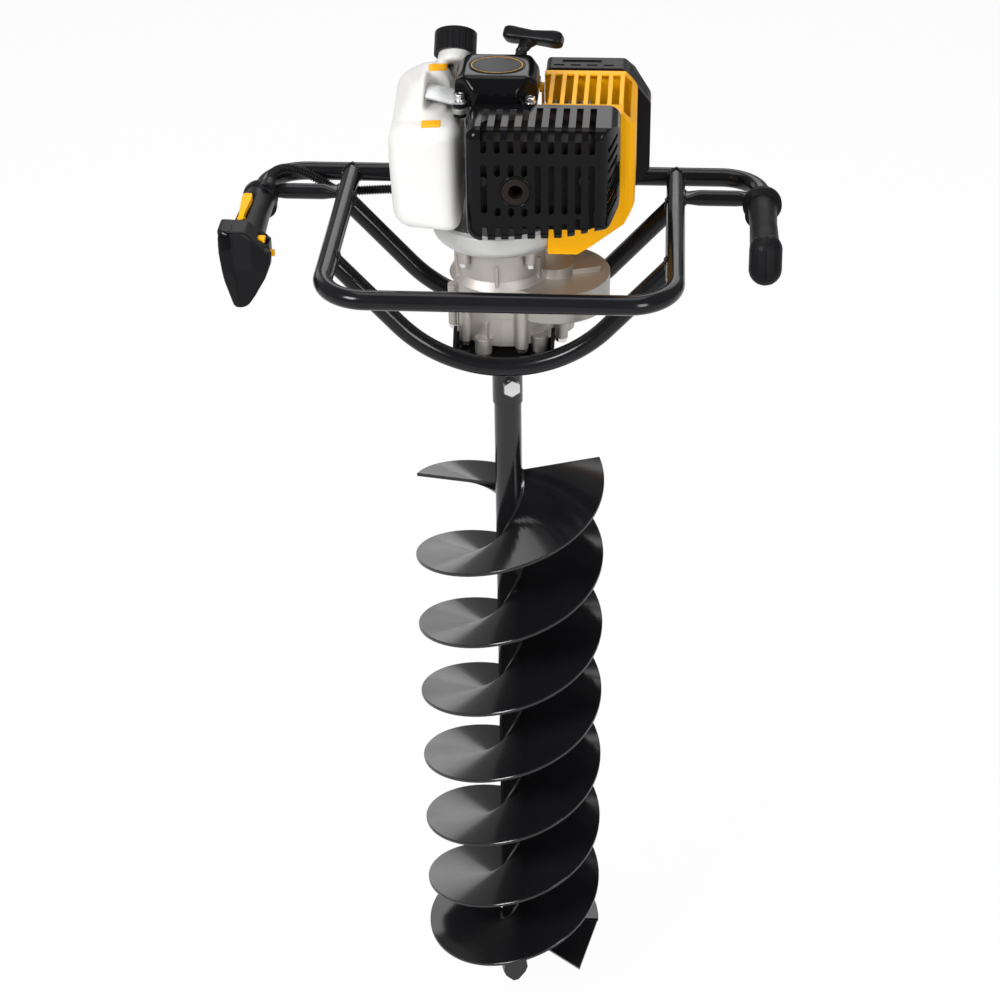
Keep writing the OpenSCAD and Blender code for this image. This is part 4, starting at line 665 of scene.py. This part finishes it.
def close_piece(piece, finish, body="frame", angle=35):
    """Ends a piece: place in the mesh, outward faces, smooth shading, finish and body."""
    activate(piece)
    bpy.ops.object.transform_apply(location=True, rotation=True, scale=True)
    bpy.ops.object.mode_set(mode="EDIT")
    bpy.ops.mesh.select_all(action="SELECT")
    bpy.ops.mesh.remove_doubles(threshold=1e-6)
    bpy.ops.mesh.normals_make_consistent(inside=False)
    bpy.ops.object.mode_set(mode="OBJECT")
    bpy.ops.object.shade_smooth_by_angle(angle=math.radians(angle))
    piece.data.materials.clear()
    piece.data.materials.append(FINISHES[finish].material)
    if body:
        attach(piece, body)
    piece.select_set(False)
    return piece


def body_of(node):
    return frame["nodes"][node]["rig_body"]


def softened(node, name, voxel, rounds):
    """A copy of a solid with its edges moulded round, to stand for it."""
    piece = new_object(name, frame["nodes"][node].data.copy())
    bpy.ops.object.mode_set(mode="EDIT")
    bpy.ops.mesh.select_all(action="SELECT")
    bpy.ops.mesh.remove_doubles(threshold=1e-5)
    modify(piece, "REMESH", mode="VOXEL", voxel_size=voxel, use_smooth_shade=True)
    modify(piece, "SMOOTH", factor=0.5, iterations=rounds)
    return piece


def laid(name, node, finish, rise, thick, *corners):
    """A thin patch on a node's shell, between four corners of the camera's picture."""
    target = bpy.data.objects[node + "_shell"]
    camera = bpy.context.scene.camera
    half = camera.data.sensor_width / camera.data.lens / 2
    middle = PICTURE / 2
    a, b, c, d = (Vector(q) for q in corners)
    piece = add(name, "grid", x_subdivisions=14, y_subdivisions=14, size=2)

    def lay(co):
        u, v = (co.x + 1) / 2, (1 - co.y) / 2
        at = a.lerp(b, u).lerp(d.lerp(c, u), v)
        across, up = (at.x - middle) / middle * half, (middle - at.y) / middle * half
        ray = camera.rotation_quaternion @ Vector((across, up, -1)).normalized()
        hit, place, normal, face = target.ray_cast(camera.location, ray)
        if not hit:
            raise RuntimeError(name + " misses " + target.name)
        return place + normal * rise

    shape(lay)
    modify(piece, "SOLIDIFY", thickness=thick, offset=-1)
    return close_piece(piece, finish, angle=40)


def ease(t):
    """A smooth step from 0 to 1."""
    t = min(1.0, max(0.0, t))
    return t * t * (3 - 2 * t)


def blend(a, b, t):
    return a + (b - a) * t


def between(pairs, at):
    """Reads a value from a line of (place, value) pairs."""
    for (a, low), (b, high) in zip(pairs, pairs[1:]):
        if at <= b:
            return blend(low, high, min(1.0, max(0.0, (at - a) / (b - a))))
    return pairs[-1][1]


def powered(value, power):
    """A power that keeps the sign."""
    return math.copysign(abs(value) ** power, value)


def ring_of(count):
    """Angles all round."""
    return [2 * math.pi * i / count for i in range(count)]


def rounded(corners, steps=7):
    """An outline through corners (x, z, radius), with the corners made round."""
    outline = []
    for i, (x, z, r) in enumerate(corners):
        p = Vector((x, z))
        u, w = ((Vector(corners[k][:2]) - p).normalized() for k in (i - 1, (i + 1) % len(corners)))
        half = u.angle(w) / 2
        middle = p + (u + w).normalized() * r / math.sin(half)
        first, last = (p + v * r / math.tan(half) - middle for v in (u, w))
        outline += [tuple(middle + first.lerp(last, k / steps).normalized() * r) for k in range(steps + 1)]
    return outline


def prism(name, outline, y0, y1):
    """An outline in X and Z, drawn out along Y, all in millimetres."""
    piece = add(name, "circle", vertices=len(outline), radius=0.01, fill_type="NGON")
    put([Vector((x, y0, z)) * MM for x, z in outline])
    bpy.ops.mesh.select_all(action="SELECT")
    extrude((0, (y1 - y0) * MM, 0))
    bpy.ops.mesh.select_all(action="SELECT")
    bpy.ops.mesh.normals_make_consistent(inside=False)
    bpy.ops.object.mode_set(mode="OBJECT")
    return piece


def smooth_route(points, steps):
    """A smooth line through the points."""
    p = [Vector(q) * MM for q in points]
    p = [2 * p[0] - p[1]] + p + [2 * p[-1] - p[-2]]
    line = []
    for i in range(1, len(p) - 2):
        a, b, c, d = p[i - 1:i + 3]
        for k in range(steps):
            t = k / steps
            line.append(b + 0.5 * t * (c - a + t * (2 * a - 5 * b + 4 * c - d + t * (3 * (b - c) + d - a))))
    line.append(p[-2])
    return line


def even_line(line, spacing):
    """The same line with points a fixed way apart, and its length."""
    total = sum((b - a).length for a, b in zip(line, line[1:]))
    count = round(total / spacing)
    out, i, done = [], 0, 0.0
    for k in range(count + 1):
        want = total * k / count
        while i < len(line) - 2 and done + (line[i + 1] - line[i]).length < want:
            done += (line[i + 1] - line[i]).length
            i += 1
        part = (want - done) / (line[i + 1] - line[i]).length
        out.append(line[i].lerp(line[i + 1], part))
    return out, total


# Pieces


class AUGER_OT_conduit(bpy.types.Operator):
    """Ribbed throttle conduit from the left grip to the carburettor"""

    bl_idname = "auger.conduit"
    bl_label = "Throttle conduit"

    def execute(self, context):
        trim = context.scene.auger_trim
        top = trim.conduit / 2
        deep = top - trim.rib_depth
        half = (deep + top) / 2
        profile = (deep, deep, half, top, top, half)
        steps = len(profile)
        sides = CONDUIT_SIDES
        line, total = even_line(smooth_route(ROUTE, steps=24), trim.rib_pitch / steps)
        points, faces = [], []
        for i, p in enumerate(line):
            ahead = (line[min(i + 1, len(line) - 1)] - line[max(i - 1, 0)]).normalized()
            side = ahead.cross(UP).normalized()
            up = side.cross(ahead)
            r = profile[i % steps]
            points += [p + r * (math.cos(a) * side + math.sin(a) * up) for a in ring_of(sides)]
        for i in range(len(line) - 1):
            for k in range(sides):
                a, b = i * sides + k, i * sides + (k + 1) % sides
                faces.append((a, b, b + sides, a + sides))
        faces.append(tuple(reversed(range(sides))))
        faces.append(tuple(range((len(line) - 1) * sides, len(line) * sides)))
        mesh = bpy.data.meshes.new("conduit_sleeve")
        mesh.from_pydata(points, [], faces)
        piece = new_object("conduit_sleeve", mesh)
        close_piece(piece, "black_plastic", angle=60)
        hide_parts("throttle_conduit")
        line[::steps] + [line[-1]]
        return {"FINISHED"}


class AUGER_OT_flights(bpy.types.Operator):
    """Two wound flight plates with the weld along their roots"""

    bl_idname = "auger.flights"
    bl_label = "Flights"

    def wind(self, name, section, bit, turns, early):
        """Winds a section about the bit's axis; the foot is lifted flat and starts some degrees early."""
        piece = add(name, "circle", vertices=len(section), radius=0.01)
        put([(r, 0, z) for r, z in section])
        modify(piece, "SCREW", axis="Z", angle=math.radians(360 * turns), screw_offset=bit.lead * turns,
               steps=FLIGHT_STEPS, render_steps=FLIGHT_STEPS, use_normal_calculate=True,
               use_smooth_shade=True)
        rings = len(piece.data.vertices) // len(section)
        for i, v in enumerate(piece.data.vertices):
            a = 360 * turns * (i // len(section)) / (rings - 1) - early
            lift = bit.lift * max(0, 1 - max(0, a) / FOOT_ARC) ** 2
            v.co.z += bit.foot + lift - bit.lead * (early + min(0, a)) / 360
        bpy.ops.object.mode_set(mode="EDIT")
        bpy.ops.mesh.select_mode(type="EDGE")
        bpy.ops.mesh.select_all(action="DESELECT")
        bpy.ops.mesh.select_non_manifold()
        bpy.ops.mesh.edge_face_add()
        bpy.ops.object.mode_set(mode="OBJECT")
        return piece

    def execute(self, context):
        bit = context.scene.auger_bit
        h = bit.plate / 2
        rim = bit.outer - FLIGHT_CHAMFER
        edge = h - FLIGHT_CHAMFER
        plate = [(bit.inner, -h), (rim, -h), (bit.outer, -edge), (bit.outer, edge), (rim, h), (bit.inner, h)]
        leg = bit.root_weld
        root, top = bit.inner - WELD_SUNK, h - WELD_SUNK
        weld = [(root, top), (bit.inner + leg, top), (bit.inner + leg * 0.42, h + leg * 0.3), (root, h + leg)]
        for letter, start, early, late in FLIGHTS:
            for name, section in (("flight_plate_" + letter, plate), ("flight_weld_" + letter, weld)):
                piece = self.wind(name, section, bit, bit.turns + (early + late) / 360, early)
                piece.data.transform(Matrix.Rotation(math.radians(start - early), 4, "Z"))
                close_piece(piece, "bit_paint", "bit", 30)
                if section is plate:
                    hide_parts("auger_flight_" + letter)
        return {"FINISHED"}


def bead(name, loop, radius, finish="frame_paint", ripples=17):
    """A rippled weld bead that follows a closed loop of points."""
    n, sides = len(loop), 8
    piece = add(name, "torus", major_segments=n, minor_segments=sides, major_radius=0.1, minor_radius=0.01)
    middle = sum(loop, Vector()) / n
    points = []
    for i, p in enumerate(loop):
        ahead = (loop[(i + 1) % n] - loop[i - 1]).normalized()
        side = (p - middle - (p - middle).dot(ahead) * ahead).normalized()
        up = ahead.cross(side)
        r = radius * (1 + 0.16 * math.sin(2 * math.pi * ripples * i / n) + 0.12 * math.sin(9.1 * i / n + 2))
        points += [p + r * (math.cos(a) * side + math.sin(a) * up) for a in ring_of(sides)]
    put(points)
    return close_piece(piece, finish, angle=60)


def tee_loop(x, y, ahead, other):
    """Where a tube that runs ahead meets another tube of its own radius square on."""
    c, d, b = Vector((x, y, FRAME_Z)) * MM, Vector(ahead).normalized(), Vector(other)
    n = d.cross(b)
    r = TUBE_R * MM
    return [c - d * r * abs(math.sin(a)) + r * (math.cos(a) * n + math.sin(a) * b) for a in ring_of(72)]


def brace_loop(x, half_y, half_z, way):
    """Where the pressed end of a brace meets a tube along Y."""
    loop = []
    for a in ring_of(56):
        u = powered(math.cos(a), 0.45) * half_y
        w = powered(math.sin(a), 0.6) * half_z
        loop.append(Vector((x + way * math.sqrt(TUBE_R * TUBE_R - w * w), BRACE_Y + u, FRAME_Z + w)) * MM)
    return loop


class AUGER_OT_welds(bpy.types.Operator):
    """Weld beads where the frame's tubes meet"""

    bl_idname = "auger.welds"
    bl_label = "Frame welds"

    def execute(self, context):
        r = context.scene.auger_trim.bead
        slope = math.radians(CRADLE_SLOPE)
        for side, word in ((-1, "left"), (1, "right")):
            rail, handle = side * RAIL_X, side * HANDLE_X
            bead("post_weld_" + word, tee_loop(rail, HANDLEBAR_Y, (0, 1, 0), (1, 0, 0)), r)
            up = (side * math.cos(slope), 0, math.sin(slope))
            for y, end in ((-CRADLE_Y, "front"), (CRADLE_Y, "rear")):
                bead(f"cradle_weld_{end}_{word}", tee_loop(rail, y, up, (0, 1, 0)), r)
            bead("brace_weld_inner_" + word, brace_loop(rail, 9.2, 4.6, side), r)
            bead("brace_weld_outer_" + word, brace_loop(handle, 8.6, 4.6, -side), r)
        return {"FINISHED"}


class AUGER_OT_braces(bpy.types.Operator):
    """Brace tubes with their ends pressed flat"""

    bl_idname = "auger.braces"
    bl_label = "Brace tubes"

    def execute(self, context):
        middle = (RAIL_X + HANDLE_X) / 2
        for side, word in ((-1, "left"), (1, "right")):
            piece = add(word + "_brace_tube", "cylinder", vertices=40, radius=1, depth=2)
            pick(lambda e: abs(e.verts[0].co.z - e.verts[1].co.z) > 1, "edges")
            bpy.ops.mesh.subdivide(number_cuts=34)

            def press(co):
                x = middle + BRACE_HALF * co.z
                part = ease((BRACE_HALF - BRACE_FLAT - abs(x - middle)) / BRACE_EASE)
                a = math.atan2(co.y, co.x)
                wide, high = (blend(flat, BRACE_ROUND_SIZE, part) for flat in BRACE_FLAT_SIZE)
                u = powered(math.cos(a), blend(0.55, 1, part)) * wide
                w = powered(math.sin(a), blend(0.6, 1, part)) * high
                return Vector((side * x, BRACE_Y + u, FRAME_Z + w)) * MM

            shape(press)
            close_piece(piece, "frame_paint", angle=60)
            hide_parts(word + "_brace")
        return {"FINISHED"}


class AUGER_OT_guard(bpy.types.Operator):
    """Slotted muffler guard, rolled round at its front edges"""

    bl_idname = "auger.guard"
    bl_label = "Muffler guard"

    def slot(self, x, z0, z1):
        """Outline of an upright slot with round ends."""
        return [(x + SLOT_R * math.cos(a), (z1 if a < math.pi else z0) + SLOT_R * math.sin(a))
                for a in (math.pi * (k + 0.5) / 8 for k in range(16))]

    def notch(self, x):
        """Outline of a notch in the lower edge, whose height follows the edge."""
        foot = 1050 + (x + 30) * 5 / 90 + max(0, x - 60) * 0.4
        wide, narrow = NOTCH_HALF
        low, high = (foot + z for z in NOTCH_Z)
        return [(x - wide, low), (x + wide, low), (x + narrow, high), (x - narrow, high)]

    def cutters(self):
        """One piece in the shape of all openings."""
        ring = [(OUTLET_X + OUTLET_R * math.cos(a), OUTLET_Z + OUTLET_R * math.sin(a)) for a in ring_of(64)]
        made = [prism("outlet_cut", ring, *OUTLET_CUT)]
        for i in range(SLOT_COUNT):
            x = SLOT_FIRST_X + SLOT_PITCH * i
            made.append(prism("top_cut", self.slot(x, *TOP_SLOT), *TOP_CUT))
            for ends in OUTLET_SLOTS if 0 < i < 4 else (FRONT_SLOT,):
                made.append(prism("front_cut", self.slot(x, *ends), *FRONT_CUT))
            made.append(prism("foot_cut", self.notch(x), *NOTCH_CUT))
        x, y, z = LOUVRE_AT
        for i in range(LOUVRE_COUNT):
            made.append(add("louvre_cut", "cube", size=1, location=(x, y, z + LOUVRE_STEP * i),
                            scale=LOUVRE_SIZE, rotation=LOUVRE_TURN))
        return join(made)

    def execute(self, context):
        trim = context.scene.auger_trim
        front = GUARD_FRONT * MM
        cut = self.cutters()
        shell = prism("muffler_guard_shell", rounded(GUARD_OUTLINE), GUARD_FRONT, GUARD_BACK)

        def left_open(face):
            behind_edge = face.calc_center_median().y > front + 0.011
            return face.normal.y > 0.9 or downward(face) and behind_edge

        def bend(co):
            part = max(0, (co.x - BEND_X[0]) / BEND_WIDTH)
            return Vector((co.x, max(co.y, front + BEND_DEPTH * part ** 2), co.z))

        bpy.ops.object.mode_set(mode="EDIT")
        pick(lambda e: all(v.co.y < front + 0.001 for v in e.verts), "edges")
        bpy.ops.mesh.bevel(offset=trim.guard_edge, segments=8, affect="EDGES")
        pick(left_open, "faces")
        bpy.ops.mesh.delete(type="FACE")
        for x in BEND_X:
            bpy.ops.mesh.select_all(action="SELECT")
            bpy.ops.mesh.bisect(plane_co=(x, 0, 1.1), plane_no=(1, 0, 0))
        shape(bend)
        modify(shell, "SOLIDIFY", thickness=trim.guard_wall, offset=-1, use_even_offset=True)
        modify(shell, "BOOLEAN", operation="DIFFERENCE", solver="EXACT", object=cut, use_self=True)
        bpy.data.objects.remove(cut)
        break_edges(shell, 0.0004, 50)
        close_piece(shell, "guard_black", angle=40)
        shell.select_set(True)
        modify(shell, "WEIGHTED_NORMAL", keep_sharp=True, weight=90)
        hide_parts("muffler_guard")
        return {"FINISHED"}


class AUGER_OT_shroud_trim(bpy.types.Operator):
    """Solid band in front of the shroud's grille and a dark sheet behind the muffler, painted shade for the
    guard's slots
    """

    bl_idname = "auger.shroud_trim"
    bl_label = "Shroud trim"

    def execute(self, context):
        for name, (at, size, finish) in SHROUD_TRIM.items():
            piece = add(name, "cube", size=1, location=Vector(at) * MM, scale=Vector(size) * MM)
            settle()
            modify(piece, "BEVEL", width=0.00025, segments=2)
            close_piece(piece, finish, angle=30)
        return {"FINISHED"}


class AUGER_OT_fasteners(bpy.types.Operator):
    """Flanged hexagon bolts at the corners of the starter"""

    bl_idname = "auger.fasteners"
    bl_label = "Starter bolts"

    def head(self):
        """A dished hexagon on a washer with the bolt's shank."""
        piece = add("starter_bolt", "cylinder", vertices=6, radius=0.0047, depth=0.0048,
                    location=(0, 0, 0.0038))
        pick(upward, "faces")
        step_in(0.0007, 0.0004)
        step_in(0.0012, -0.0006)
        pick(downward, "faces")
        extrude((0, 0, -0.0013))
        break_edges(piece, 0.00025, 25)
        washer = add("starter_washer", "cylinder", vertices=32, radius=0.005, depth=0.0014,
                     location=(0, 0, 0.0007))
        pick(upward, "faces")
        step_in(0.0006, 0.0005)
        pick(downward, "faces")
        bpy.ops.mesh.inset(thickness=0.0025)
        extrude((0, 0, -0.009))
        break_edges(washer, 0.0002, 25)
        return join([piece, washer])

    def execute(self, context):
        first = self.head()
        for i, (x, y) in enumerate(((-1, -1), (1, -1), (-1, 1), (1, 1))):
            lift = BRACKET_LIFT if i == 0 else BOLT_LIFT
            place = Vector((STARTER_X + STARTER_BOLT * x, STARTER_BOLT * y, STARTER_FOOT_Z + lift)) * MM
            turn = Matrix.Rotation(math.radians(17 + 23 * i), 4, "Z")
            made = new_object(f"starter_bolt_{i + 1}", first.data.copy())
            made.data.transform(Matrix.Translation(place) @ turn)
            close_piece(made, "bolt_steel", angle=30)
            if i == 0:
                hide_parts("starter_bolts")
        bpy.data.objects.remove(first)
        return {"FINISHED"}


class AUGER_OT_rims(bpy.types.Operator):
    """Rolled rim round the exhaust outlet and the bare oval on the starter's top"""

    bl_idname = "auger.rims"
    bl_label = "Rims"

    def execute(self, context):
        rim = add("outlet_rim", "torus", major_segments=64, minor_segments=12, major_radius=0.0147,
                  minor_radius=0.0012, location=(0.017, -0.1053, 1.099), rotation=(math.pi / 2, 0, 0))
        close_piece(rim, "guard_black", angle=60)
        plate = add("starter_oval", "cylinder", vertices=72, radius=0.0215, depth=0.0006,
                    location=(-0.006, 0, 1.1797))
        pick(upward, "faces")
        for inset, rise in OVAL_STEPS:
            step_in(inset, rise)
        shape(lambda co: Vector((co.x * OVAL_STRETCH, co.y, co.z)))
        break_edges(plate, 0.0002, 20)
        close_piece(plate, "black_plastic", angle=30)
        ring = add("starter_oval_line", "torus", major_segments=96, minor_segments=8, major_radius=0.0192,
                   minor_radius=0.00035, location=(-0.006, 0, 1.18005))
        shape(lambda co: Vector((co.x * OVAL_STRETCH, co.y, co.z * 0.6)))
        close_piece(ring, "yellow_plastic", angle=60)
        return {"FINISHED"}


class AUGER_OT_pull(bpy.types.Operator):
    """Starter handle: a waisted bar on a ribbed boot, with its rope"""

    bl_idname = "auger.pull"
    bl_label = "Starter handle"

    def bar(self, lean):
        """The bar, boxy at its ends, turned on its leaning boot."""
        piece = add("pull_bar", "uv_sphere", segments=56, ring_count=28, radius=1,
                    rotation=(0, math.pi / 2, 0))
        settle()
        bpy.ops.object.mode_set(mode="EDIT")

        def form(co):
            x, y, z = (powered(c, power) for c, power in zip(co, BAR_POWERS))
            middle = math.cos(0.5 * math.pi * x) ** 2
            waist = 1 - BAR_WAIST * middle
            dish = Vector((0, 0, BAR_DISH * max(0, co.z) * middle))
            return BAR_AT + BAR_HALF * Vector((x, y * waist, z * waist)) - dish

        shape(form)
        bpy.ops.object.mode_set(mode="OBJECT")
        to_middle = Matrix.Translation(lean @ BAR_AT)
        swing = to_middle @ Matrix.Rotation(BAR_TURN, 4, "Z") @ to_middle.inverted()
        piece.data.transform(lean.inverted() @ swing @ lean)
        return piece

    def boot(self):
        """The end of the rope with the boot's rings drawn out of it."""
        piece = add("pull_handle_shell", "cylinder", vertices=40, radius=0.00175, depth=0.014,
                    location=(0, 0, -0.003))
        settle()
        bpy.ops.object.mode_set(mode="EDIT")
        pick(upward, "faces")
        middle = 0.0
        for z, x, rx, ry in BOOT_RINGS:
            extrude((0, 0, 0))
            mesh = bmesh.from_edit_mesh(piece.data)
            for v in mesh.verts:
                if v.select:
                    a = math.atan2(v.co.y, v.co.x - middle)
                    v.co = Vector((x + rx * math.cos(a), ry * math.sin(a), z)) * MM
            middle = x * MM
            bmesh.update_edit_mesh(piece.data)
        bpy.ops.object.mode_set(mode="OBJECT")
        return piece

    def rope(self):
        """The rope between housing and handle; it is on no moving body, so it does not run out when the
        handle is pulled.
        """
        piece = add("pull_rope", "cylinder", vertices=20, radius=0.0017, depth=0.016, location=(0, 0, -0.002))
        pick(lambda e: abs(e.verts[0].co.z - e.verts[1].co.z) > 0.01, "edges")
        bpy.ops.mesh.subdivide(number_cuts=40)
        settle()
        return piece

    def execute(self, context):
        lean = Matrix.Rotation(PULL_LEAN, 4, "X")
        bar = self.bar(lean)
        shell = join([self.boot(), bar])
        seat = Matrix.Translation(ROPE_EXIT) @ lean
        shell.data.transform(seat)
        close_piece(shell, "black_plastic", "pull", 45)
        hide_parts("pull_handle")
        rope = self.rope()
        rope.data.transform(seat)
        close_piece(rope, "black_plastic", None, 60)
        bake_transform(rope)
        return {"FINISHED"}


class AUGER_OT_grip_seam(bpy.types.Operator):
    """Moulding seam round the bulb of the right grip"""

    bl_idname = "auger.grip_seam"
    bl_label = "Grip seam"

    def execute(self, context):
        way = (BULB_TOP - BULB_LOW).normalized()
        out = Vector((1, 0, 0)).cross(way)
        loop = []
        for a in ring_of(96):
            middle = BULB_TOP if math.cos(a) > 0 else BULB_LOW
            loop.append((middle + BULB_R * (math.cos(a) * way + math.sin(a) * out)) * MM)
        bead("right_grip_seam", loop, 0.0003, "grip_rubber", 0)
        return {"FINISHED"}


class AUGER_OT_moulded(bpy.types.Operator):
    """Tank, throttle grip and starter housing with the round edges of their mouldings"""

    bl_idname = "auger.moulded"
    bl_label = "Moulded shells"

    def grown(self, y, start, over):
        return ease((-y - start) / over)

    def head(self, co):
        """Narrows the grip's head on its outer side and folds its front along a ridge."""
        x, y, z = co.x / MM + HANDLE_X, co.y / MM, co.z / MM - FRAME_Z
        part = self.grown(y, *OUTER_GROWS)
        if part == 0:
            return co
        if x < HEAD_MIDDLE:
            old, new = (between(side, z) for side in (HEAD_OUTER_OLD, HEAD_OUTER_NEW))
        else:
            old, new = (between(side, z) for side in (HEAD_INNER_OLD, HEAD_INNER_NEW))
            part = self.grown(y, *INNER_GROWS) if z < HEAD_TOP else 0
        x = blend(x, HEAD_MIDDLE + (x - HEAD_MIDDLE) * (new - HEAD_MIDDLE) / (old - HEAD_MIDDLE), part)
        off = abs(x - between(HEAD_RIDGE, z))
        y -= RIDGE_RISE * max(0, 1 - off / RIDGE_WIDTH) * self.grown(y, *RIDGE_GROWS)
        return Vector((x - HANDLE_X, y, z + FRAME_Z)) * MM

    def execute(self, context):
        for node, voxel, rounds, finish in MOULDED:
            piece = softened(node, node + "_shell", voxel, rounds)
            if node == "throttle_grip":
                bpy.ops.object.mode_set(mode="EDIT")
                shape(self.head)
                modify(piece, "SMOOTH", factor=0.5, iterations=12)
            close_piece(piece, finish, angle=80)
            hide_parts(node)
        return {"FINISHED"}


class AUGER_OT_controls(bpy.types.Operator):
    """Tapered lock-out lever and the cap of the stop switch"""

    bl_idname = "auger.controls"
    bl_label = "Grip controls"

    def taper(self, co):
        """Narrows the lever towards its low end and rounds its upper end."""
        x, y = co.x / MM - LEVER_X, co.y / MM
        along = (y - LEVER_LOW_Y) / LEVER_LENGTH
        wide = blend(LEVER_NARROW, 1.0, ease(along * 1.25))
        tip = math.sqrt(max(0.0, 1 - max(0.0, (y - LEVER_TIP_Y) / LEVER_TIP_R) ** 2))
        return Vector((LEVER_X + x * wide * max(LEVER_TIP_LEAST, tip), y, co.z / MM)) * MM

    def execute(self, context):
        lever = softened("lockout_lever", "lockout_lever_shell", 0.0005, 14)
        bpy.ops.object.mode_set(mode="EDIT")
        shape(self.taper)
        modify(lever, "SMOOTH", factor=0.5, iterations=4)
        close_piece(lever, "yellow_plastic", body_of("lockout_lever"), 80)
        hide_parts("lockout_lever")
        cap = add("stop_switch_cap", "cube", size=1, location=(-0.2312, -0.066, 1.0261),
                  scale=(0.0098, 0.0086, 0.0042))
        pick(upward, "faces")
        step_in(0.0008, 0.0007)
        settle()
        modify(cap, "BEVEL", width=0.0006, segments=3)
        close_piece(cap, "yellow_plastic", body_of("stop_switch"), 40)
        return {"FINISHED"}


class AUGER_OT_labels(bpy.types.Operator):
    """Blank yellow labels on the tank, and the seam and glossy panel of the throttle grip's head"""

    bl_idname = "auger.labels"
    bl_label = "Patches"

    def execute(self, context):
        for name, patch in PATCHES.items():
            laid(name, *patch)
        return {"FINISHED"}


class AUGER_OT_finishes(bpy.types.Operator):
    """Finish of every solid that stays in view"""

    bl_idname = "auger.finishes"
    bl_label = "Finishes"

    def execute(self, context):
        slots = {row["node"]: row["material_slot"] for row in frame["record"]["subparts"]}
        for name, solid in frame["nodes"].items():
            solid.data.materials.clear()
            solid.data.materials.append(FINISHES[slots[name]].material)
        return {"FINISHED"}


class AUGER_OT_stage(bpy.types.Operator):
    """Pale floor, soft studio lamps and the camera"""

    bl_idname = "auger.stage"
    bl_label = "Stage"

    def lamp(self, name, at, aim, size, power):
        data = bpy.data.lights.new(name, "AREA")
        data.shape = "RECTANGLE"
        data.size, data.size_y = size
        data.energy = power
        lamp = new_object(name, data)
        lamp.location = at
        lamp.rotation_mode = "QUATERNION"
        lamp.rotation_quaternion = (Vector(aim) - Vector(at)).to_track_quat("-Z", "Y")

    def sky(self):
        """A white sky that gives the object little light."""
        world = bpy.data.worlds.new("Studio")
        world.use_nodes = True
        tree = world.node_tree
        sky = tree.nodes["Background"]
        sky.inputs["Color"].default_value = (1, 1, 1, 1)
        path = tree.nodes.new("ShaderNodeLightPath")
        strength = tree.nodes.new("ShaderNodeMapRange")
        strength.inputs["To Min"].default_value = SKY_LIGHT
        tree.links.new(path.outputs["Is Camera Ray"], strength.inputs["Value"])
        tree.links.new(strength.outputs[0], sky.inputs["Strength"])
        return world

    def camera(self, scene):
        lens = bpy.data.cameras.new("photo_camera")
        lens.lens = 83.88
        lens.sensor_width = 36
        camera = new_object("photo_camera", lens)
        camera.location = (0.1449, -2.0529, 2.030)
        roll = Quaternion(CAMERA_LOOK.normalized(), CAMERA_ROLL)
        camera.rotation_mode = "QUATERNION"
        camera.rotation_quaternion = roll @ CAMERA_LOOK.to_track_quat("-Z", "Y")
        scene.camera = camera

    def execute(self, context):
        scene = context.scene
        floor = add("studio_floor", "plane", size=14)
        bpy.ops.mesh.subdivide(number_cuts=3)
        bpy.ops.object.mode_set(mode="OBJECT")
        floor.data.materials.append(studio("StudioFloor", tuple(scene.auger_colours.floor)).material)
        for name, settings in LAMPS.items():
            self.lamp(name, *settings)
        scene.world = self.sky()
        scene.view_settings.view_transform = "Standard"
        self.camera(scene)
        return {"FINISHED"}


SETTINGS = {"auger_bit": BitSettings, "auger_trim": TrimSettings, "auger_colours": ColourSettings}


class AUGER_PT_pieces(bpy.types.Panel):
    """Lists the auger's settings and steps"""

    bl_idname = "AUGER_PT_pieces"
    bl_label = "Earth auger"
    bl_space_type = "VIEW_3D"
    bl_region_type = "UI"
    bl_category = "Auger"

    def draw(self, context):
        for name in SETTINGS:
            group = getattr(context.scene, name)
            box = self.layout.box()
            for key in group.__annotations__:
                box.prop(group, key)
        for step in STEPS:
            self.layout.operator(step.bl_idname)


STEPS = (AUGER_OT_stage, AUGER_OT_conduit, AUGER_OT_flights, AUGER_OT_welds, AUGER_OT_braces, AUGER_OT_guard,
         AUGER_OT_shroud_trim, AUGER_OT_fasteners, AUGER_OT_rims, AUGER_OT_pull, AUGER_OT_grip_seam,
         AUGER_OT_moulded, AUGER_OT_controls, AUGER_OT_labels, AUGER_OT_finishes)
CLASSES = (*SETTINGS.values(), *STEPS, AUGER_PT_pieces)


def register():
    for c in CLASSES:
        bpy.utils.register_class(c)
    for name, group in SETTINGS.items():
        setattr(bpy.types.Scene, name, bpy.props.PointerProperty(type=group))


def unregister():
    for name in SETTINGS:
        delattr(bpy.types.Scene, name)
    for c in reversed(CLASSES):
        bpy.utils.unregister_class(c)


def main():
    register()
    FINISHES.update(finish_table(bpy.context.scene.auger_colours))
    for step in STEPS:
        group, name = step.bl_idname.split(".")
        getattr(getattr(bpy.ops, group), name)()


if __name__ == "__main__":
    main()
